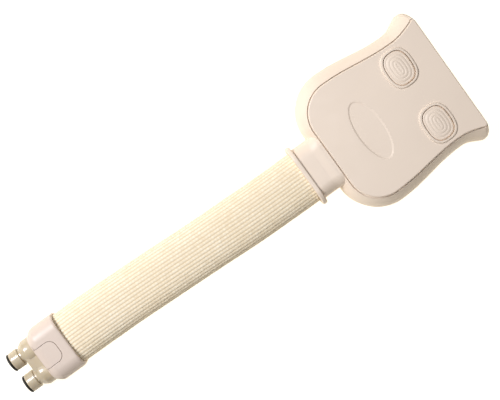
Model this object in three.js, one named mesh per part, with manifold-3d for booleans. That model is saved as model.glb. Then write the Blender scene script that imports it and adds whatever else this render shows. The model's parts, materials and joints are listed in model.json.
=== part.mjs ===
// Two-button latch head on a sleeved pair of hoses that end in a twin spigot plug.
// Millimetres. +X runs along the length towards the head's flat end, +Z is the button side,
// and the origin is at the middle of the footprint, on the surface that the back lies on.
import * as THREE from 'three';
import { mergeVertices } from 'three/addons/utils/BufferGeometryUtils.js';
import Module from 'manifold-3d';

const wasm = await Module();
wasm.setup();

// ---- driving dimensions ----
const SEAM = 0.2; // parting line between two housing halves
const FIT = 0.3; // clearance round a piece that is held still
const SLIDE = 0.35; // clearance round a piece that moves
const larger = (size, width, height) => [size[0] + width, size[1] + height];

// hoses, lagging and the sleeve round them
const SPIGOT_Y = 8.2; // half the spacing of the spigots, and of the hoses in the sleeve
const HOSE_RADIUS = 5.0;
const HOSE_BORE = 3.5;
const LAGGING_RADIUS = SPIGOT_Y - 0.3;
const LAGGING_BORE = HOSE_RADIUS + 0.45;
const SLEEVE_WALL = 1.4;
const ONE_HOSE = 2 * (LAGGING_RADIUS + SLEEVE_WALL); // its lagging and the sleeve each side of it
const SLEEVE_SIZE = [2 * SPIGOT_Y + ONE_HOSE + 0.2, ONE_HOSE + 3.8];
const SLEEVE_SQUARENESS = 2.5; // 2 is an ellipse, more is squarer
const SLEEVE_TUCK = 3.0; // how far the sleeve goes into the collar and the end cap
const BEND_X = -36.0; // middle of the flexible length
const PLUG_OFFSET_Y = 5.0; // how far to one side the sleeve's gentle curve carries the plug

// neck and collar
const NECK_SIZE = larger(SLEEVE_SIZE, 0.7, 1.2);
const NECK_CORNER = 8.5;
const NECK_WALL = 2.0;
const COLLAR_SIZE = larger(SLEEVE_SIZE, 6.6, 4.2);
const COLLAR_CORNER = 10.5;
const COLLAR_X = 52.1;
const COLLAR_LENGTH = 3.0;

// end cap and spigots
const CAP_BACK_X = -123.2;
const CAP_FRONT_X = -143.5;
const CAP_SIZE = larger(SLEEVE_SIZE, 2.5, 4.6);
const CAP_CORNER = 9.0;
const CAP_CHAMFER = [5.2, 3.1, 1.8]; // along X, then in from the sides and from the top
const CAP_WALL = 2.0;
const BOSS_RADIUS = SPIGOT_Y - 0.3;
const BOSS_END_X = -152.4;
const TIP_X = -161.6;
const TIP_COLLAR_END_X = TIP_X + 7.8;
const TIP_SEAL_LENGTH = 1.4;
const SPIGOT_FLANGE_X = -136.0;
const SPIGOT_FLANGE = 3.0;
const SPIGOT_BACK_X = SPIGOT_FLANGE_X + SPIGOT_FLANGE;
const SPIGOT_SEAT_X = TIP_X + 5.6;
const SPIGOT_CHAMBER = 4.1;
const SPIGOT_CHAMBER_END_X = SPIGOT_FLANGE_X - 2.2;
const KEY_HALF_WIDTH = 5.9;
const KEY_HEIGHT = 6.4;
const SHELF_TOP = 6.0; // seat of the release tab's spring
const TAB_SIZE = [13.6, 14.0];
const TAB_CORNER = 4.6;
const TAB_THICKNESS = 2.0;
const PIN_RADIUS = 0.9;
const PIN_HOLE = PIN_RADIUS + 0.12;
const PIN_X = CAP_FRONT_X + 2.4;
const PIN_Z = CAP_SIZE[1] / 2 - 3.0;
const EAR_FROM = TAB_SIZE[1] / 2 + 0.6;
const EAR_WIDTH = 2.2;
const AXIS_Z = CAP_SIZE[1] / 2; // height of every water way above the resting plane

// sockets
const SOCKET_Y = 20.5;
const SOCKET_BORE = 6.2; // radius
const TIP_RADIUS = SOCKET_BORE - 0.15; // of the spigots, and of those that the sockets take
const RING_WIRE = 0.75;
const RING_GROOVE = SOCKET_BORE + 2 * RING_WIRE + 0.1;
const SOCKET_RADIUS = RING_GROOVE + 0.7;
const SOCKET_SEAT_X = 135.0; // face that the entering spigot comes to
const RING_X = SOCKET_SEAT_X + 4.0;
const VALVE_BACK_X = SOCKET_SEAT_X - 8.0;
const VALVE_CHAMBER = 5.0;
const SEAT_THICKNESS = 1.5;
const SEAT_OPENING = 3.4;
const SOCKET_BACK_X = VALVE_BACK_X - 1.6;
const BARB_LENGTH = 13.0;
const BARB_RADIUS = 3.15;
const WATER_RADIUS = 2.0;

// head housing
const HEAD_END_X = 161.6;
const HEAD_TOP_Z = AXIS_Z + SOCKET_RADIUS + 4.2;
const HEAD_WALL = 2.2;
const CHIN_X = 67.0;
const HEAD_HALF_WIDTH = 47.2;
const WAIST_X = HEAD_END_X - 19.6;
const WAIST_INSET = 5.2; // how far the waist is in from the widest place
const FACE_INSET_CHIN = 5.7; // from the silhouette in to the edge of the flat face
const FACE_INSET_SIDE = 7.8;
const PLATE_RISE = 0.8; // face plate above the shell round it
const PLATE_SEAT = 0.8; // depth of the plate's pocket
const PLATE_GAP = 0.25;
const DIMPLE_X = CHIN_X + 34.0;
const DIMPLE_SIZE = [17.6, 41.0];
const DIMPLE_DEPTH = 0.45;
const SCREW_PLACES = [[96, 37], [96, -37], [106, 0], [151, 0]];
const SCREW_SHANK = 1.4;
const SCREW_HEAD = [2.7, 2.0]; // radius and height
const SCREW_LENGTH = 17.0;
const BOSS_SOLE_Z = 3.2;

// buttons and latches
const BUTTON_X = 136.8;
const BUTTON_SIZE = [16.0, 21.2];
const BUTTON_SQUARENESS = 2.6;
const BUTTON_TRAVEL = 2.2;
const BUTTON_TOP_Z = HEAD_TOP_Z + 2.0;
const BUTTON_BASE_Z = AXIS_Z + SOCKET_RADIUS + BUTTON_TRAVEL + 0.2;
const RIM_WIDTH = 1.7;
const RIM_RISE = 0.9;
const RING_GROOVES = [-2.6, -4.6]; // outer edge of each ring groove, in from the button's edge
const RING_GROOVE_WIDTH = 1.0;
const RING_GROOVE_DEPTH = 0.35;
const LATCH_X = 143.5;
const LATCH_THICKNESS = 2.2;
const LATCH_HALF_WIDTH = SOCKET_RADIUS;
const LATCH_LIP = 2.1; // material under the latch's eye
const LATCH_TAB_HALF = 4.0;
const LATCH_TAB_TOP = BUTTON_TOP_Z - 1.8;
const LATCH_FOOT_Z = AXIS_Z + BUTTON_TRAVEL - SOCKET_BORE - 0.3 - LATCH_LIP;
const LATCH_SPRING_RADIUS = 2.5;

const SIDES = [['left', 1], ['right', -1]];

// ---- materials ----
const plastic = (color, roughness) => new THREE.MeshStandardMaterial({ color, roughness, metalness: 0 });
const steel = () => new THREE.MeshStandardMaterial({ color: 0xb8babd, roughness: 0.35, metalness: 1 });
const pinkPlastic = () => plastic(0xe8d9cd, 0.45);
const clearPlastic = () => plastic(0xc9bfa6, 0.35);
const whitePlastic = () => plastic(0xece8e0, 0.5);
const blackRubber = () => plastic(0x1d1c1a, 0.7);
const hoseRubber = () => plastic(0xdcd8cc, 0.55);
const foam = () => plastic(0xf2f0ea, 0.95);
const knit = () => plastic(0xf3e4c8, 0.95);

// ---- solids ----
const ROUND = 16; // facets round a turned piece
const FINE = 12; // and round a small one

function toSolid(geometry) {
  const bare = geometry.index ? geometry.toNonIndexed() : geometry.clone();
  bare.deleteAttribute('normal');
  bare.deleteAttribute('uv');
  const merged = mergeVertices(bare, 1e-4);
  const corners = Array.from(merged.index.array);
  const triangles = [];
  for (let i = 0; i < corners.length; i += 3) {
    const [a, b, c] = corners.slice(i, i + 3);
    if (a !== b && b !== c && c !== a) triangles.push(a, b, c);
  }
  const build = (order) => new wasm.Manifold(new wasm.Mesh({
    numProp: 3,
    vertProperties: new Float32Array(merged.attributes.position.array),
    triVerts: new Uint32Array(order),
  }));
  const solid = build(triangles);
  return solid.volume() > 0 ? solid : build(triangles.reverse());
}

function toGeometry(solid) {
  const mesh = solid.getMesh();
  const geometry = new THREE.BufferGeometry();
  geometry.setAttribute('position', new THREE.BufferAttribute(new Float32Array(mesh.vertProperties), 3));
  geometry.setIndex(Array.from(mesh.triVerts));
  return geometry;
}

const union = (solids) => solids.reduce((a, b) => a.add(b));
const cut = (solid, tools) => tools.reduce((a, b) => a.subtract(b), solid);

function box(x0, x1, y0, y1, z0, z1) {
  const geometry = new THREE.BoxGeometry(x1 - x0, y1 - y0, z1 - z0);
  geometry.translate((x0 + x1) / 2, (y0 + y1) / 2, (z0 + z1) / 2);
  return toSolid(geometry);
}

function place(solid, x, y, z) {
  return solid.translate([x, y, z]);
}

// A solid of revolution about the X axis, from [x, radius] pairs; a bore makes it a closed ring.
function turned(profile, segments = ROUND) {
  const closed = profile[0][1] > 0;
  const points = profile.map(([x, r]) => new THREE.Vector2(r, x));
  if (closed) points.push(points[0].clone());
  const geometry = new THREE.LatheGeometry(points, segments);
  geometry.rotateZ(-Math.PI / 2);
  return toSolid(geometry);
}

const rodX = (x0, x1, r, segments = ROUND) => turned([[x0, 0], [x0, r], [x1, r], [x1, 0]], segments);

function rodZ(x, y, z0, z1, r, segments = FINE) {
  const geometry = new THREE.CylinderGeometry(r, r, z1 - z0, segments);
  geometry.rotateX(Math.PI / 2);
  geometry.translate(x, y, (z0 + z1) / 2);
  return toSolid(geometry);
}

function rodY(x, z, y0, y1, r, segments = FINE) {
  const geometry = new THREE.CylinderGeometry(r, r, y1 - y0, segments);
  geometry.translate(x, (y0 + y1) / 2, z);
  return toSolid(geometry);
}

// A closed skin through rings of equal point counts: [{ height, points }] stacked along +Z.
function lofted(rings) {
  const count = rings[0].points.length;
  const positions = [];
  const index = [];
  for (const ring of rings) {
    for (const p of ring.points) positions.push(p.x, p.y, ring.height);
  }
  for (let k = 0; k + 1 < rings.length; k += 1) {
    for (let i = 0; i < count; i += 1) {
      const a = k * count + i;
      const b = k * count + ((i + 1) % count);
      index.push(a, b, b + count, a, b + count, a + count);
    }
  }
  const top = (rings.length - 1) * count;
  for (const [a, b, c] of THREE.ShapeUtils.triangulateShape(rings[0].points, [])) index.push(c, b, a);
  for (const [a, b, c] of THREE.ShapeUtils.triangulateShape(rings[rings.length - 1].points, [])) {
    index.push(top + a, top + b, top + c);
  }
  const geometry = new THREE.BufferGeometry();
  geometry.setAttribute('position', new THREE.Float32BufferAttribute(positions, 3));
  geometry.setIndex(index);
  return geometry;
}

// The same, stacked along +X, with each ring's points as (Y, Z).
function loftedX(rings) {
  const geometry = lofted(rings.map(({ x, points }) => ({ height: x, points })));
  geometry.applyMatrix4(new THREE.Matrix4().set(0, 0, 1, 0, 1, 0, 0, 0, 0, 1, 0, 0, 0, 0, 0, 1));
  return toSolid(geometry);
}

function roundedRect(width, height, radius, centre = [0, 0], cornerSteps = 4) {
  const points = [];
  const r = Math.min(radius, width / 2 - 0.01, height / 2 - 0.01);
  const corners = [[1, 1, 0], [-1, 1, 1], [-1, -1, 2], [1, -1, 3]];
  for (const [sx, sy, quarter] of corners) {
    for (let i = 0; i <= cornerSteps; i += 1) {
      const a = (quarter + i / cornerSteps) * Math.PI / 2;
      const x = centre[0] + sx * (width / 2 - r) + r * Math.cos(a);
      const y = centre[1] + sy * (height / 2 - r) + r * Math.sin(a);
      points.push(new THREE.Vector2(x, y));
    }
  }
  return points;
}

// A fat oval: exponent 2 is an ellipse, and a larger one is squarer.
function fatOval(width, height, exponent, count, centre = [0, 0]) {
  const points = [];
  for (let i = 0; i < count; i += 1) {
    const a = (i / count) * Math.PI * 2;
    const c = Math.cos(a);
    const s = Math.sin(a);
    const x = centre[0] + Math.sign(c) * Math.abs(c) ** (2 / exponent) * width / 2;
    const y = centre[1] + Math.sign(s) * Math.abs(s) ** (2 / exponent) * height / 2;
    points.push(new THREE.Vector2(x, y));
  }
  return points;
}

const prism = (points, z0, z1) => toSolid(lofted([{ height: z0, points }, { height: z1, points }]));

class Helix extends THREE.Curve {
  constructor(radius, length, turns) {
    super();
    Object.assign(this, { radius, length, turns });
  }

  getPoint(t, target = new THREE.Vector3()) {
    const a = t * this.turns * Math.PI * 2;
    return target.set(this.radius * Math.cos(a), this.radius * Math.sin(a), t * this.length);
  }
}

// A round-wire compression spring that stands on z = 0.
function spring(radius, wire, length, turns) {
  const section = new THREE.Shape(fatOval(wire, wire, 2, 4));
  const path = new Helix(radius, length - wire, turns);
  const geometry = new THREE.ExtrudeGeometry(section, {
    steps: Math.round(turns * 8), bevelEnabled: false, extrudePath: path,
  });
  geometry.translate(0, 0, wire / 2);
  return toSolid(geometry);
}

const alongX = (solid) => solid.rotate([0, 90, 0]);

// ---- head housing ----
const SILHOUETTE = {
  chinX: CHIN_X, chinR: 27, sideY: HEAD_HALF_WIDTH, waistX: WAIST_X,
  waistY: HEAD_HALF_WIDTH - WAIST_INSET, earY: HEAD_HALF_WIDTH, earR: 4.6, endX: HEAD_END_X,
};
const FACE = {
  chinX: CHIN_X + FACE_INSET_CHIN, chinR: 20, sideY: HEAD_HALF_WIDTH - FACE_INSET_SIDE, waistX: WAIST_X,
  waistY: HEAD_HALF_WIDTH - WAIST_INSET - FACE_INSET_SIDE + 1, earY: HEAD_HALF_WIDTH - FACE_INSET_SIDE,
  earR: 1.6, endX: HEAD_END_X - 0.2,
};

// The head's outline between its silhouette (t = 0) and the edge of its flat face (t = 1).
function headOutline(t, inset = 0) {
  const o = {};
  for (const key of Object.keys(SILHOUETTE)) o[key] = SILHOUETTE[key] + (FACE[key] - SILHOUETTE[key]) * t;
  const chinX = o.chinX + inset;
  const chinR = o.chinR - inset;
  const sideY = o.sideY - inset;
  const waistY = o.waistY - inset;
  const earY = o.earY - inset;
  const earR = Math.max(o.earR - inset * 0.6, 0.8);
  const endX = o.endX - inset;
  const earX = endX - earR;
  const earStart = THREE.MathUtils.degToRad(112);
  const at = (x, y) => new THREE.Vector2(x, y);
  const curve = (...points) => new THREE.CubicBezierCurve(...points);
  const chinEnd = at(chinX + chinR, sideY);
  const waist = at(o.waistX, waistY);
  const ear = at(earX + earR * Math.cos(earStart), earY - earR + earR * Math.sin(earStart));
  const reach = (waist.x - chinEnd.x) * 0.38;
  const pieces = [
    [1, new THREE.LineCurve(at(chinX, 0), at(chinX, sideY - chinR))],
    [7, new THREE.EllipseCurve(chinX + chinR, sideY - chinR, chinR, chinR, Math.PI, Math.PI / 2, true)],
    [5, curve(chinEnd, at(chinEnd.x + reach, sideY), at(waist.x - reach, waistY), waist)],
    [4, curve(waist, at(waist.x + 6, waistY), at(ear.x - 4.2, ear.y - 1.7), ear)],
    [3, new THREE.EllipseCurve(earX, earY - earR, earR, earR, earStart, 0, true)],
    [1, new THREE.LineCurve(at(endX, earY - earR), at(endX, 0))],
  ];
  const points = pieces.flatMap(([count, piece]) => piece.getPoints(count).slice(0, -1));
  points.push(at(endX, 0));
  const mirrored = points.slice(1, -1).reverse().map((p) => new THREE.Vector2(p.x, -p.y));
  return [...points, ...mirrored].reverse();
}

// [height, how far the outline has moved in towards the face edge]
const SHOULDER = [
  [0, 0.42], [1.2, 0.17], [5.0, 0], [11.5, 0], [17.0, 0.1], [21.0, 0.33], [24.0, 0.63], [HEAD_TOP_Z, 0.93],
];

function headBlank() {
  return toSolid(lofted(SHOULDER.map(([height, t]) => ({ height, points: headOutline(t) }))));
}

function headCavity() {
  const low = HEAD_WALL;
  const high = HEAD_TOP_Z - HEAD_WALL;
  const rings = SHOULDER.filter((_, k) => k !== 1 && k !== 4).map(([height, t]) => {
    const squeezed = low + (height / HEAD_TOP_Z) * (high - low);
    return { height: squeezed, points: headOutline(t, HEAD_WALL) };
  });
  return toSolid(lofted(rings));
}

const neckTube = (shrink, x0, x1) => loftedX([x0, x1].map((x) => ({
  x,
  points: roundedRect(NECK_SIZE[0] - shrink, NECK_SIZE[1] - shrink, NECK_CORNER - shrink / 2, [0, AXIS_Z]),
})));

function headWhole() {
  const neck = neckTube(0, COLLAR_X + COLLAR_LENGTH + FIT, CHIN_X + FACE_INSET_CHIN + 4);
  const blank = headBlank();
  const outside = union([blank, neck]);
  const hollow = union([headCavity(), neckTube(2 * NECK_WALL, COLLAR_X, CHIN_X + FACE_INSET_CHIN + 6)]);
  const shell = outside.subtract(hollow);
  const rib = box(124.5, 127, -SOCKET_Y - 13, SOCKET_Y + 13, 1, HEAD_TOP_Z - 1);
  const bosses = SCREW_PLACES.map(([x, y]) => rodZ(x, y, 1, HEAD_TOP_Z - 1.5, 3.6));
  const drillings = SCREW_PLACES.flatMap(([x, y]) => [
    rodZ(x, y, -1, HEAD_TOP_Z - 6, SCREW_SHANK + 0.2),
    rodZ(x, y, -1, BOSS_SOLE_Z, SCREW_HEAD[0] + FIT),
  ]);
  const socketHole = rodX(100, HEAD_END_X + 1, SOCKET_RADIUS + FIT);
  const sockets = SIDES.map(([, s]) => place(socketHole, 0, s * SOCKET_Y, AXIS_Z));
  return cut(union([shell, rib, ...bosses]), [...drillings, ...sockets, ...buttonWells(), platePocket()]);
}

function buttonOutline(grow) {
  return fatOval(BUTTON_SIZE[0] + 2 * grow, BUTTON_SIZE[1] + 2 * grow, BUTTON_SQUARENESS, 24);
}

function buttonWells() {
  return SIDES.map(([, s]) => place(prism(buttonOutline(SLIDE + 0.6), 18, 30), BUTTON_X, s * SOCKET_Y, 0));
}

function platePocket() {
  const pocketFloor = HEAD_TOP_Z - PLATE_SEAT;
  const pocket = prism(headOutline(1, -PLATE_GAP), pocketFloor, HEAD_TOP_Z + 1);
  const openEnd = box(HEAD_END_X - 3, HEAD_END_X + 1, -FACE.earY - PLATE_GAP, FACE.earY + PLATE_GAP,
    pocketFloor, HEAD_TOP_Z + 1);
  return pocket.add(openEnd);
}

function facePlate() {
  const low = HEAD_TOP_Z - PLATE_SEAT + 0.1;
  const high = HEAD_TOP_Z + PLATE_RISE;
  const blank = toSolid(lofted([
    { height: low, points: headOutline(1) },
    { height: high - 0.4, points: headOutline(1) },
    { height: high, points: headOutline(1, 0.4) },
  ]));
  const rims = SIDES.map(([, s]) => {
    const rings = [
      { height: low, points: buttonOutline(SLIDE + RIM_WIDTH + 0.5) },
      { height: high, points: buttonOutline(SLIDE + RIM_WIDTH + 0.5) },
      { height: high + RIM_RISE, points: buttonOutline(SLIDE + RIM_WIDTH - 0.5) },
    ];
    return place(toSolid(lofted(rings)), BUTTON_X, s * SOCKET_Y, 0);
  });
  const holes = SIDES.map(([, s]) => place(prism(buttonOutline(SLIDE), 20, 32), BUTTON_X, s * SOCKET_Y, 0));
  const dimple = lofted([
    { height: high - DIMPLE_DEPTH, points: fatOval(DIMPLE_SIZE[0] - 4, DIMPLE_SIZE[1] - 4, 2, 20) },
    { height: high + 0.1, points: fatOval(DIMPLE_SIZE[0], DIMPLE_SIZE[1], 2, 20) },
  ]);
  const withRims = union([blank, ...rims]).intersect(prism(headOutline(1), low, high + 2 * RIM_RISE));
  return cut(withRims, [...holes, place(toSolid(dimple), DIMPLE_X, 0, 0)]);
}

// ---- buttons and latches ----
function buttonCap() {
  const rings = [
    { height: BUTTON_BASE_Z, points: buttonOutline(0) },
    { height: BUTTON_TOP_Z - 0.7, points: buttonOutline(0) },
    { height: BUTTON_TOP_Z - 0.2, points: buttonOutline(-0.5) },
    { height: BUTTON_TOP_Z, points: buttonOutline(-1.4) },
  ];
  let cap = toSolid(lofted(rings));
  for (const grow of RING_GROOVES) {
    const groove = prism(buttonOutline(grow), BUTTON_TOP_Z - RING_GROOVE_DEPTH, BUTTON_TOP_Z + 1)
      .subtract(prism(buttonOutline(grow - RING_GROOVE_WIDTH), BUTTON_TOP_Z - 1, BUTTON_TOP_Z + 2));
    cap = cap.subtract(groove);
  }
  const x = LATCH_X - BUTTON_X;
  const pocket = box(x - LATCH_THICKNESS / 2 - FIT, x + LATCH_THICKNESS / 2 + FIT, -LATCH_TAB_HALF - FIT,
    LATCH_TAB_HALF + FIT, BUTTON_BASE_Z - 1, LATCH_TAB_TOP + FIT);
  return cap.subtract(pocket);
}

function latchPlate() {
  const eyeRadius = SOCKET_BORE + 0.3;
  const eyeZ = AXIS_Z + BUTTON_TRAVEL;
  const low = eyeZ - eyeRadius - LATCH_LIP;
  const half = LATCH_THICKNESS / 2;
  const shoulder = HEAD_TOP_Z - HEAD_WALL - FIT;
  const plate = box(-half, half, -LATCH_HALF_WIDTH, LATCH_HALF_WIDTH, low, shoulder);
  const tab = box(-half, half, -LATCH_TAB_HALF, LATCH_TAB_HALF, BUTTON_BASE_Z - 2, LATCH_TAB_TOP);
  return plate.add(tab).subtract(place(rodX(-5, 5, eyeRadius), 0, 0, eyeZ));
}

const latchSpring = () => spring(LATCH_SPRING_RADIUS, 0.6, LATCH_FOOT_Z - HEAD_WALL - 2 * 0.15, 2.5);

// ---- sockets and their valves, with the axis at y = 0, z = 0 ----
function barb(x0, direction) {
  const profile = [];
  for (let i = 0; i < 3; i += 1) {
    const x = x0 + direction * (BARB_LENGTH - 1.2 - i * 3.2);
    profile.push([x, BARB_RADIUS - 0.35], [x - direction * 2.2, BARB_RADIUS]);
  }
  return profile;
}

function socketBody() {
  const mouth = HEAD_END_X - 0.2;
  const end = SOCKET_BACK_X - BARB_LENGTH;
  const inside = [
    [mouth, SOCKET_BORE + 0.8], [mouth - 1.2, SOCKET_BORE], [RING_X + 1.2, SOCKET_BORE],
    [RING_X + 1.2, RING_GROOVE], [RING_X - 1.2, RING_GROOVE], [RING_X - 1.2, SOCKET_BORE],
    [SOCKET_SEAT_X, SOCKET_BORE],
    [SOCKET_SEAT_X, SEAT_OPENING], [SOCKET_SEAT_X - SEAT_THICKNESS, SEAT_OPENING],
    [SOCKET_SEAT_X - SEAT_THICKNESS, VALVE_CHAMBER],
    [VALVE_BACK_X, VALVE_CHAMBER], [VALVE_BACK_X, WATER_RADIUS], [end, WATER_RADIUS],
  ];
  const outside = [
    [end, BARB_RADIUS - 0.5], ...barb(SOCKET_BACK_X, -1), [SOCKET_BACK_X, BARB_RADIUS - 0.35],
    [SOCKET_BACK_X, SOCKET_RADIUS], [mouth, SOCKET_RADIUS],
  ];
  const tube = turned([...inside, ...outside]);
  const slot = LATCH_THICKNESS / 2 + SLIDE;
  const guideHalf = LATCH_HALF_WIDTH + 2.4;
  const guide = box(LATCH_X - 4, LATCH_X + 4, -guideHalf, guideHalf, -8, SOCKET_RADIUS)
    .subtract(rodX(LATCH_X - 5, LATCH_X + 5, SOCKET_RADIUS - 0.4));
  const tools = [
    box(LATCH_X - slot, LATCH_X + slot, -LATCH_HALF_WIDTH - SLIDE, LATCH_HALF_WIDTH + SLIDE, -12, 12),
    rodZ(LATCH_X, 0, -12, LATCH_FOOT_Z - AXIS_Z, LATCH_SPRING_RADIUS + 0.3 + SLIDE),
  ];
  return cut(tube.add(guide), tools);
}

function ringSeal(meanRadius, wire) {
  const profile = fatOval(wire * 2, wire * 2, 2, 6).map((p) => [p.x, meanRadius + p.y]);
  return turned(profile);
}

// A valve that closes against a seat on its +X side and is pushed open towards -X.
function poppet({ head: headRadius, length, nose, reach, stem }) {
  return turned([
    [-length - stem, 0], [-length - stem, 1.3], [-length, 1.3], [-length, headRadius], [-0.8, headRadius],
    [0, nose], [reach - 0.6, nose], [reach, nose - 0.7], [reach, 0],
  ], FINE);
}

const SOCKET_POPPET = { head: 4.5, length: 2.4, nose: 3.0, reach: 4.2, stem: 3.6 };
const SPIGOT_POPPET = { head: 3.7, length: 2.2, nose: 1.7, reach: 5.4, stem: 5.0 };

// ---- hoses, lagging and sleeve ----
const SLEEVE_HEAD_X = COLLAR_X + SLEEVE_TUCK - 0.4;
const SLEEVE_PLUG_X = CAP_BACK_X - SLEEVE_TUCK;
const CURVE_START_X = COLLAR_X - 8;
const CURVE_END_X = CAP_BACK_X + 4;

// The sideways drift of the flexible length: level at both ends, a gentle S between.
function drift(x) {
  const t = THREE.MathUtils.clamp((CURVE_START_X - x) / (CURVE_START_X - CURVE_END_X), 0, 1);
  return PLUG_OFFSET_Y * t * t * (3 - 2 * t);
}

function hosePath(side) {
  const fromX = SOCKET_BACK_X - 0.5;
  const toX = SPIGOT_BACK_X + 0.5;
  const points = [];
  for (let x = fromX; x > fromX - 13; x -= 4) points.push([x, side * SOCKET_Y]);
  const parallelX = CHIN_X + 4;
  const split = fromX - 13;
  for (let i = 1; i < 6; i += 1) {
    const t = i / 6;
    const eased = t * t * (3 - 2 * t);
    points.push([split + (parallelX - split) * t, side * (SOCKET_Y + (SPIGOT_Y - SOCKET_Y) * eased)]);
  }
  const steps = 13;
  for (let i = 0; i <= steps; i += 1) {
    const x = parallelX + (CURVE_END_X - parallelX) * (i / steps);
    points.push([x, drift(x) + side * SPIGOT_Y]);
  }
  for (let x = CURVE_END_X - 4; x > toX + 1; x -= 4) points.push([x, PLUG_OFFSET_Y + side * SPIGOT_Y]);
  points.push([toX, PLUG_OFFSET_Y + side * SPIGOT_Y]);
  return new THREE.CatmullRomCurve3(points.map(([x, y]) => new THREE.Vector3(x, y, AXIS_Z)));
}

function tubeAlong(path, outer, inner, steps, sides) {
  const section = new THREE.Shape(fatOval(outer * 2, outer * 2, 2, sides));
  section.holes.push(new THREE.Path(fatOval(inner * 2, inner * 2, 2, sides)));
  return toSolid(new THREE.ExtrudeGeometry(section, { steps, bevelEnabled: false, extrudePath: path }));
}

function hose(side) {
  return tubeAlong(hosePath(side), HOSE_RADIUS, HOSE_BORE, 26, 8);
}

function lagging(side) {
  const from = COLLAR_X - 2;
  const to = CAP_BACK_X + 1;
  const rings = (radius, x0, x1) => {
    const list = [];
    for (let i = 0; i <= 8; i += 1) {
      const x = x0 + (x1 - x0) * (i / 8);
      list.push({ x, points: fatOval(radius * 2, radius * 2, 2, 10, [drift(x) + side * SPIGOT_Y, AXIS_Z]) });
    }
    return list;
  };
  return loftedX(rings(LAGGING_RADIUS, to, from)).subtract(loftedX(rings(LAGGING_BORE, to, from)));
}

function sleevePart(x0, x1) {
  const steps = 4;
  const skin = (shrink, a, b) => {
    const rings = [];
    for (let i = 0; i <= steps; i += 1) {
      const x = a + (b - a) * (i / steps);
      const size = SLEEVE_SIZE.map((v) => v - shrink);
      rings.push({ x, points: fatOval(size[0], size[1], SLEEVE_SQUARENESS, 20, [drift(x), AXIS_Z]) });
    }
    return loftedX(rings);
  };
  return skin(0, x0, x1).subtract(skin(2 * SLEEVE_WALL, x0, x1));
}

function sleeveMouth(x0, x1, centre) {
  const [width, height] = larger(SLEEVE_SIZE, 2 * FIT, 2 * FIT);
  return loftedX([x0, x1].map((x) => ({ x, points: fatOval(width, height, SLEEVE_SQUARENESS, 20, centre) })));
}

function collarRing() {
  const flange = loftedX([0, 0.5, COLLAR_LENGTH - 0.5, COLLAR_LENGTH].map((x, i) => {
    const shrink = i === 0 || i === 3 ? 0.8 : 0;
    const points = roundedRect(COLLAR_SIZE[0] - shrink, COLLAR_SIZE[1] - shrink, COLLAR_CORNER, [0, AXIS_Z]);
    return { x: COLLAR_X + x, points };
  }));
  const mouth = sleeveMouth(COLLAR_X - 1, SLEEVE_HEAD_X + FIT, [0, AXIS_Z]);
  return cut(flange, [mouth, neckTube(2 * NECK_WALL, COLLAR_X - 1, COLLAR_X + COLLAR_LENGTH + 1)]);
}

function clamp(x) {
  const inner = HOSE_RADIUS + 0.25;
  const outer = HOSE_RADIUS + 1.0;
  return turned([[x, inner], [x + 4, inner], [x + 4, outer], [x, outer]]);
}

// ---- plug: everything is drawn about its own middle, y = 0, z = 0 ----
function capBlank() {
  const front = [CAP_SIZE[0] - 2 * CAP_CHAMFER[1], CAP_SIZE[1] - 2 * CAP_CHAMFER[2]];
  const full = roundedRect(CAP_SIZE[0], CAP_SIZE[1], CAP_CORNER);
  const middle = roundedRect(front[0] + 3.7, front[1] + 2.4, CAP_CORNER - 0.6);
  const rings = [
    { x: CAP_FRONT_X, points: roundedRect(front[0], front[1], CAP_CORNER - 1.6) },
    { x: CAP_FRONT_X + CAP_CHAMFER[0] * 0.45, points: middle },
    { x: CAP_FRONT_X + CAP_CHAMFER[0], points: full },
    { x: CAP_BACK_X, points: full },
  ];
  return loftedX(rings);
}

// Twice the tab's length about the cap's front edge, so that the tab runs out through that edge.
function tabOutline(grow) {
  const [length, width] = larger([2 * TAB_SIZE[0], TAB_SIZE[1]], 2 * grow, 2 * grow);
  return roundedRect(length, width, TAB_CORNER + grow, [CAP_FRONT_X, 0]);
}

function capWhole() {
  const innerSize = CAP_SIZE.map((v) => v - 2 * CAP_WALL);
  const inner = loftedX([CAP_FRONT_X + 2.2, CAP_BACK_X + 1].map((x) => ({
    x, points: roundedRect(innerSize[0], innerSize[1], CAP_CORNER - CAP_WALL),
  })));
  const shell = cut(capBlank(), [inner, sleeveMouth(SLEEVE_PLUG_X - FIT, CAP_BACK_X + 1, [0, 0])]);
  const ears = SIDES.map(([, s]) => {
    const [y0, y1] = [s * EAR_FROM, s * (EAR_FROM + EAR_WIDTH)].sort((a, b) => a - b);
    return box(CAP_FRONT_X + 0.8, PIN_X + 2.2, y0, y1, PIN_Z - 2.2, PIN_Z + 1.6);
  });
  const bossHole = rodX(CAP_FRONT_X - 1, CAP_FRONT_X + 4, BOSS_RADIUS + FIT);
  const tools = [
    prism(tabOutline(SLIDE), KEY_HEIGHT, CAP_SIZE[1]),
    ...SIDES.map(([, s]) => place(bossHole, 0, s * SPIGOT_Y, 0)),
    box(CAP_FRONT_X - 1, CAP_FRONT_X + 2.6, -KEY_HALF_WIDTH - FIT, KEY_HALF_WIDTH + FIT, -KEY_HEIGHT - FIT,
      KEY_HEIGHT + FIT),
    rodY(PIN_X, PIN_Z, -EAR_FROM - EAR_WIDTH - 1, EAR_FROM + EAR_WIDTH + 1, PIN_HOLE),
  ];
  return cut(union([shell, ...ears]), tools);
}

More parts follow.
